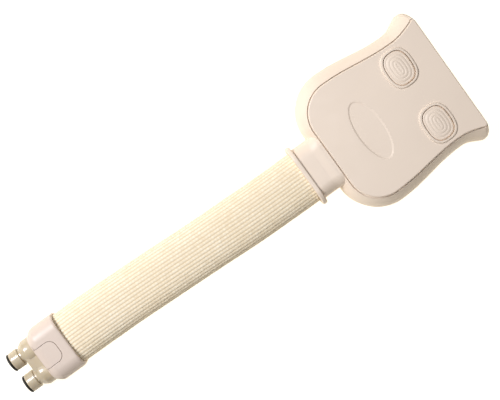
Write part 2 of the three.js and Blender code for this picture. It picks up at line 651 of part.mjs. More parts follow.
function spigotBlock() {
  const flange = loftedX([SPIGOT_FLANGE_X, SPIGOT_BACK_X].map((x) => ({
    x, points: roundedRect(CAP_SIZE[0] - 2 * CAP_WALL - 1.0, CAP_SIZE[1] - 7.4, 6.5),
  })));
  const collarX = TIP_X + TIP_SEAL_LENGTH + FIT;
  const shaft = [
    [TIP_X + 0.6, 3.1], [collarX, 3.1], [collarX, TIP_RADIUS - 0.4], [collarX + 0.4, TIP_RADIUS],
    [TIP_COLLAR_END_X, TIP_RADIUS], [TIP_COLLAR_END_X, 4.9], [BOSS_END_X, 4.9],
    [BOSS_END_X, 5.9], [BOSS_END_X + 3.2, BOSS_RADIUS], [SPIGOT_FLANGE_X + 1, BOSS_RADIUS],
    [SPIGOT_FLANGE_X + 1, BARB_RADIUS - 0.35], [SPIGOT_BACK_X, BARB_RADIUS - 0.35],
  ];
  const end = SPIGOT_BACK_X + BARB_LENGTH;
  const tail = [...barb(SPIGOT_BACK_X, 1).reverse(), [end, BARB_RADIUS - 0.5], [end, 0]];
  const spigot = turned([[TIP_X + 0.6, 0], ...shaft, ...tail]);
  const spigots = SIDES.map(([, s]) => place(spigot, 0, s * SPIGOT_Y, 0));
  const keyFoot = -KEY_HEIGHT + 3;
  const key = box(BOSS_END_X + 0.6, SPIGOT_BACK_X - 0.5, -KEY_HALF_WIDTH, KEY_HALF_WIDTH,
    keyFoot, KEY_HEIGHT);
  const springShelf = box(SPIGOT_BACK_X - 1, SPIGOT_BACK_X + 5.6, -2.8, 2.8, SHELF_TOP - 1.8, SHELF_TOP);
  const bores = SIDES.flatMap(([, s]) => [
    rodX(TIP_X, 0, WATER_RADIUS, FINE),
    rodX(SPIGOT_SEAT_X, SPIGOT_CHAMBER_END_X, SPIGOT_CHAMBER),
  ].map((tool) => place(tool, 0, s * SPIGOT_Y, 0)));
  return cut(union([flange, ...spigots, key, springShelf]), bores);
}

function releaseTab() {
  const skin = capBlank().intersect(prism(tabOutline(0), CAP_SIZE[1] / 2 - TAB_THICKNESS, CAP_SIZE[1]));
  const reach = TAB_SIZE[1] / 2 - 0.4;
  const barrel = rodY(PIN_X, PIN_Z, -reach, reach, 1.9);
  const web = box(PIN_X - 1.4, PIN_X + 1.4, -reach, reach, PIN_Z, CAP_SIZE[1] / 2 - TAB_THICKNESS + 0.6);
  const bore = rodY(PIN_X, PIN_Z, -reach - 1, reach + 1, PIN_HOLE);
  return skin.add(barrel).add(web).subtract(bore);
}

function tipSeal() {
  const length = TIP_SEAL_LENGTH;
  return turned([
    [0, 4.1], [0.2, 3.3], [length, 3.3], [length, TIP_RADIUS - 0.5], [length * 0.6, TIP_RADIUS - 0.05],
    [length * 0.3, TIP_RADIUS - 0.3], [0, TIP_RADIUS - 0.9],
  ]);
}

// ---- fasteners ----
function screw() {
  const [radius, height] = SCREW_HEAD;
  const drive = rodZ(0, 0, -0.1, 0.9, radius * 0.4, 6);
  const shank = rodZ(0, 0, height - 0.2, SCREW_LENGTH, SCREW_SHANK, 8);
  return rodZ(0, 0, 0, height, radius).add(shank).subtract(drive);
}

// ---- assembly ----
const model = new THREE.Group();
const head = new THREE.Group();
const plug = new THREE.Group();
plug.position.set(0, PLUG_OFFSET_Y, AXIS_Z);
model.add(head, plug);

function put(group, name, solid, material, x = 0, y = 0, z = 0) {
  const mesh = new THREE.Mesh(toGeometry(solid), material);
  mesh.name = name;
  mesh.position.set(x, y, z);
  group.add(mesh);
}

const above = (z) => box(-400, 400, -200, 200, z + SEAM / 2, 200);
const below = (z) => box(-400, 400, -200, 200, -200, z - SEAM / 2);

const wholeHead = headWhole();
put(head, 'head_upper_shell', wholeHead.intersect(above(AXIS_Z)), pinkPlastic());
put(head, 'head_lower_shell', wholeHead.intersect(below(AXIS_Z)), pinkPlastic());
put(head, 'face_plate', facePlate(), pinkPlastic());
put(head, 'sleeve_collar', collarRing(), pinkPlastic());
put(head, 'sleeve_head_half', sleevePart(BEND_X + SEAM / 2, SLEEVE_HEAD_X), knit());
SCREW_PLACES.forEach(([x, y], i) => {
  put(head, `head_screw_${i + 1}`, screw(), steel(), x, y, BOSS_SOLE_Z - SCREW_HEAD[1] - 0.1);
});

for (const [name, s] of SIDES) {
  const y = s * SOCKET_Y;
  const p = SOCKET_POPPET;
  const valveX = SOCKET_SEAT_X - SEAT_THICKNESS - 0.15;
  const springLength = valveX - p.length - VALVE_BACK_X - 0.3;
  put(head, `button_${name}`, buttonCap(), pinkPlastic(), BUTTON_X, y);
  put(head, `latch_plate_${name}`, latchPlate(), steel(), LATCH_X, y);
  put(head, `latch_spring_${name}`, latchSpring(), steel(), LATCH_X, y, HEAD_WALL + 0.15);
  put(head, `socket_${name}`, socketBody(), whitePlastic(), 0, y, AXIS_Z);
  const seal = ringSeal(SOCKET_BORE + RING_WIRE - 0.15, RING_WIRE);
  put(head, `socket_seal_${name}`, seal, blackRubber(), RING_X, y, AXIS_Z);
  put(head, `socket_valve_${name}`, poppet(p), whitePlastic(), valveX, y, AXIS_Z);
  put(head, `socket_valve_spring_${name}`, alongX(spring(3.6, 0.55, springLength, 2.5)), steel(),
    VALVE_BACK_X + 0.15, y, AXIS_Z);
  put(head, `hose_${name}`, hose(s), hoseRubber());
  put(head, `hose_lagging_${name}`, lagging(s), foam());
  put(head, `hose_clamp_head_${name}`, clamp(SOCKET_BACK_X - 8), steel(), 0, y, AXIS_Z);
}

const wholeCap = capWhole();
put(plug, 'end_cap_upper', wholeCap.intersect(above(0)), pinkPlastic());
put(plug, 'end_cap_lower', wholeCap.intersect(below(0)), pinkPlastic());
const plugHalf = sleevePart(SLEEVE_PLUG_X, BEND_X - SEAM / 2);
put(plug, 'sleeve_plug_half', plugHalf, knit(), 0, -PLUG_OFFSET_Y, -AXIS_Z);
put(plug, 'spigot_block', spigotBlock(), clearPlastic());
put(plug, 'release_tab', releaseTab(), pinkPlastic());
const pinReach = EAR_FROM + EAR_WIDTH - 0.2;
put(plug, 'release_tab_pin', rodY(0, 0, -pinReach, pinReach, PIN_RADIUS), steel(), PIN_X, 0, PIN_Z);
const tabSpring = spring(1.7, 0.45, CAP_SIZE[1] / 2 - TAB_THICKNESS - SHELF_TOP - 0.3, 3.5);
put(plug, 'release_tab_spring', tabSpring, steel(), SPIGOT_BACK_X + 2.1, 0, SHELF_TOP + 0.15);

for (const [name, s] of SIDES) {
  const y = s * SPIGOT_Y;
  const p = SPIGOT_POPPET;
  const valve = poppet(p).mirror([1, 0, 0]);
  const valveX = SPIGOT_SEAT_X + 0.15;
  const springBack = SPIGOT_CHAMBER_END_X - 0.15;
  const springLength = springBack - valveX - p.length - 0.15;
  put(plug, `tip_seal_${name}`, tipSeal(), blackRubber(), TIP_X, y);
  put(plug, `spigot_valve_${name}`, valve, whitePlastic(), valveX, y);
  put(plug, `spigot_valve_spring_${name}`, alongX(spring(3.0, 0.5, springLength, 4)), steel(),
    springBack - springLength, y);
  put(plug, `hose_clamp_plug_${name}`, clamp(SPIGOT_BACK_X + 4), steel(), 0, y);
}

export default model;
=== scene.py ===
import json
import math

import bmesh
import bpy
import numpy as np
from mathutils import Matrix, Vector


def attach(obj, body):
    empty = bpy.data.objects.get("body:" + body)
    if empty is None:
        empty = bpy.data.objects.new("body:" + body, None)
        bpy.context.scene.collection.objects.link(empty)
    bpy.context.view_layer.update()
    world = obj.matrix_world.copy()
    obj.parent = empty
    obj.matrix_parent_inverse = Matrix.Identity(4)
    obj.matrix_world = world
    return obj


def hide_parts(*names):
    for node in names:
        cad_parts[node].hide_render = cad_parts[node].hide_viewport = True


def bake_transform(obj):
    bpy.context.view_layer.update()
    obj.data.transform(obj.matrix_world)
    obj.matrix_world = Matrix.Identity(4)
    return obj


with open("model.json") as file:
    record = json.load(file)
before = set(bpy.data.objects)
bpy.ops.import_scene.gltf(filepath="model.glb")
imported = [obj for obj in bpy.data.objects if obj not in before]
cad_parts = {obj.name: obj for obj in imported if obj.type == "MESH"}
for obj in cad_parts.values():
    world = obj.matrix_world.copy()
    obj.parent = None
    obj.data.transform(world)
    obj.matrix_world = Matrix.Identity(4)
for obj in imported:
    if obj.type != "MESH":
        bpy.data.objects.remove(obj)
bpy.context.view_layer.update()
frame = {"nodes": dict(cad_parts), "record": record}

MM = 0.001

# ---- sizes in millimetres, in the CAD model's frame ----
AXIS_Z = 13.5
SEAM = 0.2
FIT = 0.3
SLIDE = 0.35
HEAD_END_X = 161.6
HEAD_TOP_Z = 26.2
HEAD_WALL = 2.2
CHIN_X = 67.0
HEAD_HALF_WIDTH = 47.2
WAIST_X = 142.0
WAIST_INSET = 5.2
FACE_INSET_CHIN = 5.7
FACE_INSET_SIDE = 7.8
FOOT_HEIGHT = 5.0  # the rounded lower edge of the head
FOOT_TUCK = 0.42  # how far that edge draws in, on the same scale as RIM_T
SHOULDER_START_Z = 11.5
SHOULDER_POWER = 2.2
RIM_T = 0.93  # how far in the shell's rim is, between the silhouette (0) and the face edge (1)
PLATE_RISE = 0.8
PLATE_SEAT = 0.8
PLATE_GAP = 0.75
PLATE_EDGE = 0.9  # radius of the plate's upper edge
PLATE_GROOVE_DEPTH = 1.0
PLATE_END_MARGIN = 3.0  # the pocket opens and its groove stops this far from the head's end
DIMPLE_X = 101.0
DIMPLE_SIZE = (17.6, 41.0)
DIMPLE_DEPTH = 0.34
DIMPLE_TILT = 0.012  # how much shallower it gets for each millimetre away from the neck
NECK_SIZE = (35.9, 23.6)
NECK_CORNER = 8.5
NECK_WALL = 2.0
COLLAR_SIZE = (41.8, 26.6)
COLLAR_X = 52.1
COLLAR_LENGTH = 3.0
COLLAR_CORNER = 10.5
SLEEVE_SIZE = (35.2, 22.4)
SLEEVE_WALL = 1.4
SLEEVE_TUCK = 3.0
SLEEVE_SQUARENESS = 2.5
PLUG_OFFSET_Y = 5.0
BUTTON_X = 136.8
SOCKET_Y = 20.5
BUTTON_SIZE = (16.0, 21.2)
BUTTON_SQUARENESS = 2.6
BUTTON_TOP_Z = 28.2
BUTTON_BASE_Z = 24.4
BUTTON_EDGE = 0.6  # radius of the button's upper edge
BUTTON_EDGE_DROP = 1.05  # from BUTTON_TOP_Z, the button's highest point in the CAD, down to that edge
BUTTON_CROWN = 0.85
BUTTON_FLANGE = 0.27
BUTTON_RIDGED = 7.8  # how far in from the edge the ridges go
RIDGE_PITCH = 2.1
RIDGE = 0.2  # depth of the furrows between the ridges
LATCH_X = 143.5
RIM_WIDTH = 1.5
RIM_RISE = 0.9
SOCKET_RADIUS = 8.5
SOCKET_BORE = 6.2
SOCKET_MOUTH_X = HEAD_END_X - 0.2
SOCKET_BACK_X = 125.4
RING_GROOVE_X = (137.8, 140.2)
RING_GROOVE_RADIUS = 7.8
VALVE_SEAT_X = 133.5
VALVE_CHAMBER_X = 127.0
VALVE_CHAMBER_RADIUS = 5.0
WATERWAY_RADIUS = 2.0
BARB_PITCH = 3.2
BARB_LENGTH = 2.2
BARB_RADII = (2.8, 3.15)
BARB_END_RADIUS = 2.65
LATCH_GUIDE_HALF_SIZE = (4.0, 10.9)
LATCH_GUIDE_REACH = (8.0, 8.5)  # below and above the socket's axis
LATCH_SLOT_HALF_SIZE = (1.45, 8.85)
LATCH_POCKET_RADIUS = 3.15
LATCH_POCKET_TOP_Z = 7.1
HOSE_RADIUS = 5.0
HOSE_BORE = 3.5
LAGGING_RADIUS = 7.9
SPIGOT_Y = 8.2
CAP_BACK_X = -123.2
CAP_FRONT_X = -143.5
CAP_SIZE = (37.7, 27.0)
CAP_CORNER = 9.0
CAP_CHAMFER = (5.2, 3.1)
CAP_WALL = 2.0
BOSS_RADIUS = 7.9
BOSS_END_X = -152.4
TIP_X = -161.6
TIP_RADIUS = 6.05
SEAL_LENGTH = 1.4
TAB_SIZE = (13.6, 14.0)
TAB_CORNER = 4.6
TAB_THICKNESS = 2.0
PIN_RADIUS = 0.9
SCREW_PLACES = ((96, 37), (96, -37), (106, 0), (151, 0))
SCREW_BOSS_RADII = (3.6, 3.9)  # in the upper and in the lower shell
SCREW_BOSS_Z = (1.0, 24.7)
SCREW_PILOT_RADIUS = 1.5
SCREW_PILOT_TOP_Z = 22.0
SCREW_HOLE_RADIUS = 1.7
SCREW_HEAD_RADIUS = 3.0
SCREW_HEAD_SEAT_Z = 3.2
SIDES = (("left", 1), ("right", -1))

BEYOND = 100.0  # cutting tools end this far out, or three times as far along the length

# ---- camera: nearly overhead, with the object's length rising to the picture's upper right ----
PICTURE_TURN = math.radians(36)
LOOK_AT = Vector((16.9, 8.1, 13.0)) * MM
CAMERA_AT = Vector((16.9, 52.9, 700.0)) * MM


def make_camera():
    data = bpy.data.cameras.new("camera")
    data.lens = 80.2
    data.sensor_width = 36.0
    camera = bpy.data.objects.new("camera", data)
    bpy.context.scene.collection.objects.link(camera)
    back = (CAMERA_AT - LOOK_AT).normalized()
    up = Vector((math.sin(PICTURE_TURN), math.cos(PICTURE_TURN), 0))
    right = up.cross(back).normalized()
    up = back.cross(right)
    camera.matrix_world = Matrix.Translation(CAMERA_AT) @ Matrix((right, up, back)).transposed().to_4x4()
    bpy.context.scene.camera = camera


make_camera()


# ---- outlines, as arrays of 2D points ----
def arc(cx, cy, r, start, stop, count):
    a = np.linspace(start, stop, count, endpoint=False)
    return np.column_stack([cx + r * np.cos(a), cy + r * np.sin(a)])


def bezier(p0, p1, p2, p3, count):
    t = np.linspace(0, 1, count, endpoint=False)[:, None]
    p0, p1, p2, p3 = (np.array(p, float) for p in (p0, p1, p2, p3))
    return p0 * (1 - t) ** 3 + 3 * p1 * t * (1 - t) ** 2 + 3 * p2 * t ** 2 * (1 - t) + p3 * t ** 3


def line(p0, p1, count):
    t = np.linspace(0, 1, count, endpoint=False)[:, None]
    return np.array(p0, float) * (1 - t) + np.array(p1, float) * t


SILHOUETTE = dict(
    chin_x=CHIN_X, chin_r=27, side_y=HEAD_HALF_WIDTH, waist_y=HEAD_HALF_WIDTH - WAIST_INSET,
    ear_y=HEAD_HALF_WIDTH, ear_r=4.6, end_x=HEAD_END_X,
)
FACE = dict(
    chin_x=CHIN_X + FACE_INSET_CHIN, chin_r=20, side_y=HEAD_HALF_WIDTH - FACE_INSET_SIDE,
    waist_y=HEAD_HALF_WIDTH - WAIST_INSET - FACE_INSET_SIDE + 1, ear_y=HEAD_HALF_WIDTH - FACE_INSET_SIDE,
    ear_r=1.6, end_x=HEAD_END_X - 0.2,
)


def head_outline(t, inset=0.0):
    """The head's outline, between its silhouette (t = 0) and the edge of its flat face (t = 1)."""
    o = {k: SILHOUETTE[k] + (FACE[k] - SILHOUETTE[k]) * t for k in SILHOUETTE}
    chin_x, chin_r = o["chin_x"] + inset, o["chin_r"] - inset
    side_y, waist_y, ear_y = o["side_y"] - inset, o["waist_y"] - inset, o["ear_y"] - inset
    ear_r = max(o["ear_r"] - inset * 0.6, 0.8)
    end_x = o["end_x"] - inset
    ear_x = end_x - ear_r
    start = math.radians(112)
    chin_end = (chin_x + chin_r, side_y)
    waist = (WAIST_X, waist_y)
    ear = (ear_x + ear_r * math.cos(start), ear_y - ear_r + ear_r * math.sin(start))
    reach = (waist[0] - chin_end[0]) * 0.38
    half = np.vstack([
        line((chin_x, 0), (chin_x, side_y - chin_r), 12),
        arc(chin_x + chin_r, side_y - chin_r, chin_r, math.pi, math.pi / 2, 30),
        bezier(chin_end, (chin_end[0] + reach, side_y), (waist[0] - reach, waist_y), waist, 30),
        bezier(waist, (waist[0] + 6, waist_y), (ear[0] - 4.2, ear[1] - 1.7), ear, 18),
        arc(ear_x, ear_y - ear_r, ear_r, start, 0, 12),
        line((end_x, ear_y - ear_r), (end_x, 0), 20),
        [(end_x, 0)],
    ])
    mirrored = half[1:-1][::-1] * (1, -1)
    return np.vstack([half, mirrored])[::-1]


def fat_oval(width, height, squareness, count, centre=(0, 0)):
    a = np.linspace(0, 2 * math.pi, count, endpoint=False)
    c, s = np.cos(a), np.sin(a)
    x = centre[0] + np.sign(c) * np.abs(c) ** (2 / squareness) * width / 2
    y = centre[1] + np.sign(s) * np.abs(s) ** (2 / squareness) * height / 2
    return np.column_stack([x, y])


def rounded_rect(width, height, radius, centre=(0, 0), steps=14):
    r = min(radius, width / 2 - 0.01, height / 2 - 0.01)
    corners = []
    for sx, sy, quarter in ((1, 1, 0), (-1, 1, 1), (-1, -1, 2), (1, -1, 3)):
        a = np.linspace(quarter, quarter + 1, steps + 1) * math.pi / 2
        x = centre[0] + sx * (width / 2 - r) + r * np.cos(a)
        y = centre[1] + sy * (height / 2 - r) + r * np.sin(a)
        corners.append(np.column_stack([x, y]))
    return np.vstack(corners)


# ---- meshes ----
def new_object(name, vertices, faces):
    mesh = bpy.data.meshes.new(name)
    mesh.from_pydata([tuple(v) for v in np.asarray(vertices) * MM], [], faces)
    mesh.update()
    piece = bpy.data.objects.new(name, mesh)
    bpy.context.scene.collection.objects.link(piece)
    bm = bmesh.new()
    bm.from_mesh(mesh)
    bmesh.ops.recalc_face_normals(bm, faces=bm.faces)
    bm.to_mesh(mesh)
    bm.free()
    return piece


def ring_faces(rings, count, wrap=False):
    faces = []
    for k in range(rings if wrap else rings - 1):
        a, b = k * count, ((k + 1) % rings) * count
        for i in range(count):
            j = (i + 1) % count
            faces.append((a + i, a + j, b + j, b + i))
    return faces


def skin(name, rings, caps=True, wrap=False):
    """A surface through rings of 3D points, closed with a cap at each end or onto itself."""
    rings = [np.asarray(r, float) for r in rings]
    count = len(rings[0])
    faces = ring_faces(len(rings), count, wrap)
    if caps and not wrap:
        faces.append(tuple(range(count))[::-1])
        faces.append(tuple(range((len(rings) - 1) * count, len(rings) * count)))
    return new_object(name, np.vstack(rings), faces)


def at_height(points, z):
    return np.column_stack([points, np.full(len(points), z) if np.isscalar(z) else z])


def at_x(points, x):
    return np.column_stack([np.full(len(points), x), points])


def stack(name, levels):
    """A solid through (height, outline) levels along +Z."""
    return skin(name, [at_height(points, z) for z, points in levels])


def stack_x(name, levels):
    """A solid through (x, section) levels along +X, each section's points as (Y, Z)."""
    return skin(name, [at_x(points, x) for x, points in levels])


def turned(name, profile, y=0.0, z=0.0, segments=64):
    """A solid of revolution about the X axis through (y, z); a profile off the axis closes onto itself."""
    a = np.linspace(0, 2 * math.pi, segments, endpoint=False)
    solid = profile[0][1] == 0
    inner = profile[1:-1] if solid else profile
    rings = [at_x(np.column_stack([y + r * np.cos(a), z + r * np.sin(a)]), x) for x, r in inner]
    return skin(name, rings, caps=solid, wrap=not solid)


def box(name, low, high):
    x, y, z = zip(low, high)
    return stack(name, [(h, np.array([(x[0], y[0]), (x[1], y[0]), (x[1], y[1]), (x[0], y[1])])) for h in z])


def rod_z(name, x, y, z0, z1, r, segments=32):
    return stack(name, [(z, fat_oval(2 * r, 2 * r, 2, segments, (x, y))) for z in (z0, z1)])


def rod_y(name, x, z, y0, y1, r, segments=32):
    circle = fat_oval(2 * r, 2 * r, 2, segments, (x, z))
    return skin(name, [np.column_stack([circle[:, 0], np.full(segments, y), circle[:, 1]]) for y in (y0, y1)])


def shift(piece, x=0, y=0, z=0):
    piece.data.transform(Matrix.Translation(Vector((x, y, z)) * MM))
    return piece


def copy_of(piece, name):
    made = bpy.data.objects.new(name, piece.data.copy())
    bpy.context.scene.collection.objects.link(made)
    return made


def settle(piece):
    """Applies the piece's modifiers to its mesh."""
    bpy.context.view_layer.update()
    shown = piece.evaluated_get(bpy.context.evaluated_depsgraph_get())
    mesh = bpy.data.meshes.new_from_object(shown)
    piece.modifiers.clear()
    piece.data = mesh
    mesh.name = piece.name
    return piece


def combine(piece, operation, tools):
    """Joins, cuts or intersects piece with the tools, which are used up."""
    for tool in tools:
        modifier = piece.modifiers.new("cut", "BOOLEAN")
        modifier.solver = "MANIFOLD"
        modifier.operation = operation
        modifier.object = tool
        settle(piece)
        bpy.data.objects.remove(tool)
    return piece


def union(piece, *tools):
    return combine(piece, "UNION", tools)


def cut(piece, *tools):
    return combine(piece, "DIFFERENCE", tools)


def keep(piece, *tools):
    return combine(piece, "INTERSECT", tools)


def soften(piece, width=0.25, angle=35, segments=2):
    """Rounds the sharp edges of a moulded piece and shades the rest smooth."""
    bm = bmesh.new()
    bm.from_mesh(piece.data)
    bmesh.ops.remove_doubles(bm, verts=bm.verts, dist=0.004 * MM)
    bmesh.ops.dissolve_degenerate(bm, edges=bm.edges, dist=0.004 * MM)
    bm.to_mesh(piece.data)
    bm.free()
    if width:
        bevel = piece.modifiers.new("edge", "BEVEL")
        bevel.width = width * MM
        bevel.segments = segments
        bevel.limit_method = "ANGLE"
        bevel.angle_limit = math.radians(angle)
        bevel.use_clamp_overlap = False
        bevel.harden_normals = False
        settle(piece)
    smooth(piece, angle)
    return piece


def smooth(piece, angle=35):
    """Shades smooth between sharp edges, with the large faces kept flat."""
    piece.data.shade_smooth()
    piece.data.set_sharp_from_angle(angle=math.radians(angle))
    weighted = piece.modifiers.new("normals", "WEIGHTED_NORMAL")
    weighted.keep_sharp = True
    return settle(piece)


# ---- materials ----
def node_material(name):
    material = bpy.data.materials.new(name)
    material.use_nodes = True
    tree = material.node_tree
    return material, tree, tree.nodes["Principled BSDF"]


def noise(tree, scale, detail=3.0, roughness=0.5):
    coordinates = tree.nodes.new("ShaderNodeTexCoord")
    made = tree.nodes.new("ShaderNodeTexNoise")
    made.inputs["Scale"].default_value = scale
    made.inputs["Detail"].default_value = detail
    made.inputs["Roughness"].default_value = roughness
    tree.links.new(coordinates.outputs["Object"], made.inputs["Vector"])
    return made.outputs["Fac"]


def between(tree, factor, low, high):
    """A colour or grey that goes from low to high with the factor."""
    ramp = tree.nodes.new("ShaderNodeValToRGB")
    ramp.color_ramp.elements[0].color = (*low, 1)
    ramp.color_ramp.elements[1].color = (*high, 1)
    ramp.color_ramp.elements[0].position = 0.3
    ramp.color_ramp.elements[1].position = 0.7
    tree.links.new(factor, ramp.inputs["Fac"])
    return ramp.outputs["Color"]


def bump(tree, shader, height, distance, strength=1.0):
    node = tree.nodes.new("ShaderNodeBump")
    node.inputs["Strength"].default_value = strength
    node.inputs["Distance"].default_value = distance * MM
    tree.links.new(height, node.inputs["Height"])
    tree.links.new(node.outputs["Normal"], shader.inputs["Normal"])


def moulded(name, colour, roughness=0.42, grain=0.02, spread=0.02):
    """Moulded plastic: a faint drift of colour, uneven polish and a fine moulded grain."""
    material, tree, shader = node_material(name)
    low = tuple(c * (1 - spread) for c in colour)
    high = tuple(min(c * (1 + spread), 1) for c in colour)
    tree.links.new(between(tree, noise(tree, 28), low, high), shader.inputs["Base Color"])
    polish = between(tree, noise(tree, 90), (roughness - 0.05,) * 3, (roughness + 0.06,) * 3)
    tree.links.new(polish, shader.inputs["Roughness"])
    bump(tree, shader, noise(tree, 1800, 2), grain)
    shader.inputs["Specular IOR Level"].default_value = 0.4
    return material


def metal(name, colour, roughness):
    material, tree, shader = node_material(name)
    low = tuple(c * 0.9 for c in colour)
    tree.links.new(between(tree, noise(tree, 160), low, colour), shader.inputs["Base Color"])
    polish = between(tree, noise(tree, 700), (roughness - 0.06,) * 3, (roughness + 0.08,) * 3)
    tree.links.new(polish, shader.inputs["Roughness"])
    shader.inputs["Metallic"].default_value = 1.0
    return material


def knitted(name):
    """Cream yarn with painted shade darkening it down between the ribs, a soft sheen and fine fibres."""
    material, tree, shader = node_material(name)
    # the rib height read here sets how much painted shade the yarn gets
    rib_shade_attribute = tree.nodes.new("ShaderNodeAttribute")
    rib_shade_attribute.attribute_name = "rib_height_for_painted_shade"
    worn = between(tree, noise(tree, 60), (0.95, 0.82, 0.60), (0.98, 0.87, 0.665))
    shade_mix = tree.nodes.new("ShaderNodeMix")
    shade_mix.data_type = "RGBA"
    # painted shade: the darker colour at the bottom of the valleys between the ribs
    shade_mix.inputs["A"].default_value = (0.74, 0.57, 0.34, 1)
    tree.links.new(rib_shade_attribute.outputs["Fac"], shade_mix.inputs["Factor"])
    tree.links.new(worn, shade_mix.inputs["B"])
    tree.links.new(shade_mix.outputs["Result"], shader.inputs["Base Color"])
    shader.inputs["Roughness"].default_value = 0.9
    shader.inputs["Sheen Weight"].default_value = 0.25
    shader.inputs["Sheen Roughness"].default_value = 0.5
    shader.inputs["Specular IOR Level"].default_value = 0.2
    bump(tree, shader, noise(tree, 3200, 4, 0.65), 0.12)
    return material


def cloudy(name, colour):
    """Slightly see-through moulded plastic: light goes a little way in."""
    material = moulded(name, colour, roughness=0.3, grain=0.015, spread=0.05)
    shader = material.node_tree.nodes["Principled BSDF"]
    shader.inputs["Subsurface Weight"].default_value = 0.3
    shader.inputs["Subsurface Radius"].default_value = (0.9, 0.75, 0.45)
    shader.inputs["Subsurface Scale"].default_value = 2.5 * MM
    shader.inputs["Coat Weight"].default_value = 0.25
    return material


PINK = moulded("pink_plastic", (0.825, 0.682, 0.533))
PINK_CAP = moulded("pink_cap_plastic", (0.685, 0.56, 0.455))
CLOUDY = cloudy("cloudy_plastic", (0.54, 0.445, 0.30))
WHITE = moulded("white_plastic", (0.80, 0.78, 0.72), roughness=0.35)
BLACK = moulded("black_rubber", (0.022, 0.021, 0.017), roughness=0.5, grain=0.03)
HOSE = moulded("hose_rubber", (0.72, 0.69, 0.60), roughness=0.5)
FOAM = moulded("lagging_foam", (0.86, 0.85, 0.80), roughness=0.95, grain=0.15)
STEEL = metal("steel", (0.62, 0.62, 0.63), 0.3)
KNIT = knitted("cream_knit")


def finish_piece(piece, material, body, slot, *replaced):
    piece.data.materials.clear()
    piece.data.materials.append(material)
    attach(piece, body)
    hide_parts(*replaced)
    return piece


# ---- head ----
def shoulder(z):
    """How far the head's outline has moved from its silhouette towards the face edge at height z."""
    if z < FOOT_HEIGHT:
        return FOOT_TUCK * (1 - z / FOOT_HEIGHT) ** 3
    s = max(z - SHOULDER_START_Z, 0) / (HEAD_TOP_Z - SHOULDER_START_Z)
    return RIM_T * s ** SHOULDER_POWER


def head_blank():
    low = [0, 0.15, 0.4, 0.8, 1.3, 2.0, 3.0, 4.0, FOOT_HEIGHT, 8.0]
    heights = low + list(np.linspace(SHOULDER_START_Z, HEAD_TOP_Z - 0.25, 22))
    levels = [(z, head_outline(shoulder(z))) for z in heights]
    levels += [
        (HEAD_TOP_Z - 0.06, head_outline(RIM_T)),
        (HEAD_TOP_Z - 0.03, head_outline(1)),
        (HEAD_TOP_Z, head_outline(1, 3)),
    ]
    return stack("head", levels)


def head_cavity():
    heights = np.linspace(0, HEAD_TOP_Z, 9)
    squeeze = (HEAD_TOP_Z - 2 * HEAD_WALL) / HEAD_TOP_Z
    levels = [(HEAD_WALL + z * squeeze, head_outline(shoulder(z), HEAD_WALL)) for z in heights]
    return stack("cavity", levels)


def neck_tube(shrink, x0, x1):
    size = (NECK_SIZE[0] - shrink, NECK_SIZE[1] - shrink)
    section = rounded_rect(*size, NECK_CORNER - shrink / 2, (0, AXIS_Z))
    return stack_x("neck", [(x0, section), (x1, section)])


def button_outline(grow, count=96):
    width, height = (v + 2 * grow for v in BUTTON_SIZE)
    return fat_oval(width, height, BUTTON_SQUARENESS, count)


def button_prism(grow, z0, z1, side):
    prism = stack("well", [(z0, button_outline(grow)), (z1, button_outline(grow))])
    return shift(prism, BUTTON_X, side * SOCKET_Y)


def plate_prism(name, inset, floor):
    """A cutter in the face plate's outline, from the floor up."""
    return stack(name, [(floor, head_outline(1, inset)), (BEYOND, head_outline(1, inset))])


def plate_pocket():
    floor = HEAD_TOP_Z - PLATE_SEAT
    half = FACE["ear_y"] + PLATE_GAP
    open_end = box("open", (HEAD_END_X - PLATE_END_MARGIN, -half, floor), (HEAD_END_X + 1, half, BEYOND))
    return union(plate_prism("pocket", -PLATE_GAP, floor), open_end)


def plate_groove():
    """The deeper groove that runs round the face plate."""
    floor = HEAD_TOP_Z - PLATE_SEAT - PLATE_GROOVE_DEPTH
    groove = plate_prism("groove", -PLATE_GAP, floor)
    cut(groove, plate_prism("seat", 0.5, floor - 1))
    return keep(groove, box("short_of_end", (0, -BEYOND, 0), (HEAD_END_X - PLATE_END_MARGIN, BEYOND, BEYOND)))


def neck_root(x0, x1):
    """The neck, whose top climbs to the face plate's edge and whose sides flare a little at the chin."""
    climb = HEAD_TOP_Z - 0.05 - (AXIS_Z + NECK_SIZE[1] / 2)
    levels = [(x0, rounded_rect(*NECK_SIZE, NECK_CORNER, (0, AXIS_Z)))]
    for share in np.linspace(0, 1, 12):
        lift = climb * ease(share)
        size = (NECK_SIZE[0] + 1.6 * share ** 3, NECK_SIZE[1] + lift)
        levels.append((CHIN_X - 3.0 + 6.0 * share, rounded_rect(*size, NECK_CORNER, (0, AXIS_Z + lift / 2))))
    return stack_x("neck", levels + [(x1, levels[-1][1])])


def split_at_seam(piece, lower_name):
    """Leaves piece with what lies above the seam, and returns what lies below it."""
    lower = copy_of(piece, lower_name)
    keep(piece, box("above", (-3 * BEYOND, -BEYOND, AXIS_Z + SEAM / 2), (3 * BEYOND, BEYOND, BEYOND)))
    return keep(lower, box("below", (-3 * BEYOND, -BEYOND, -BEYOND), (3 * BEYOND, BEYOND, AXIS_Z - SEAM / 2)))


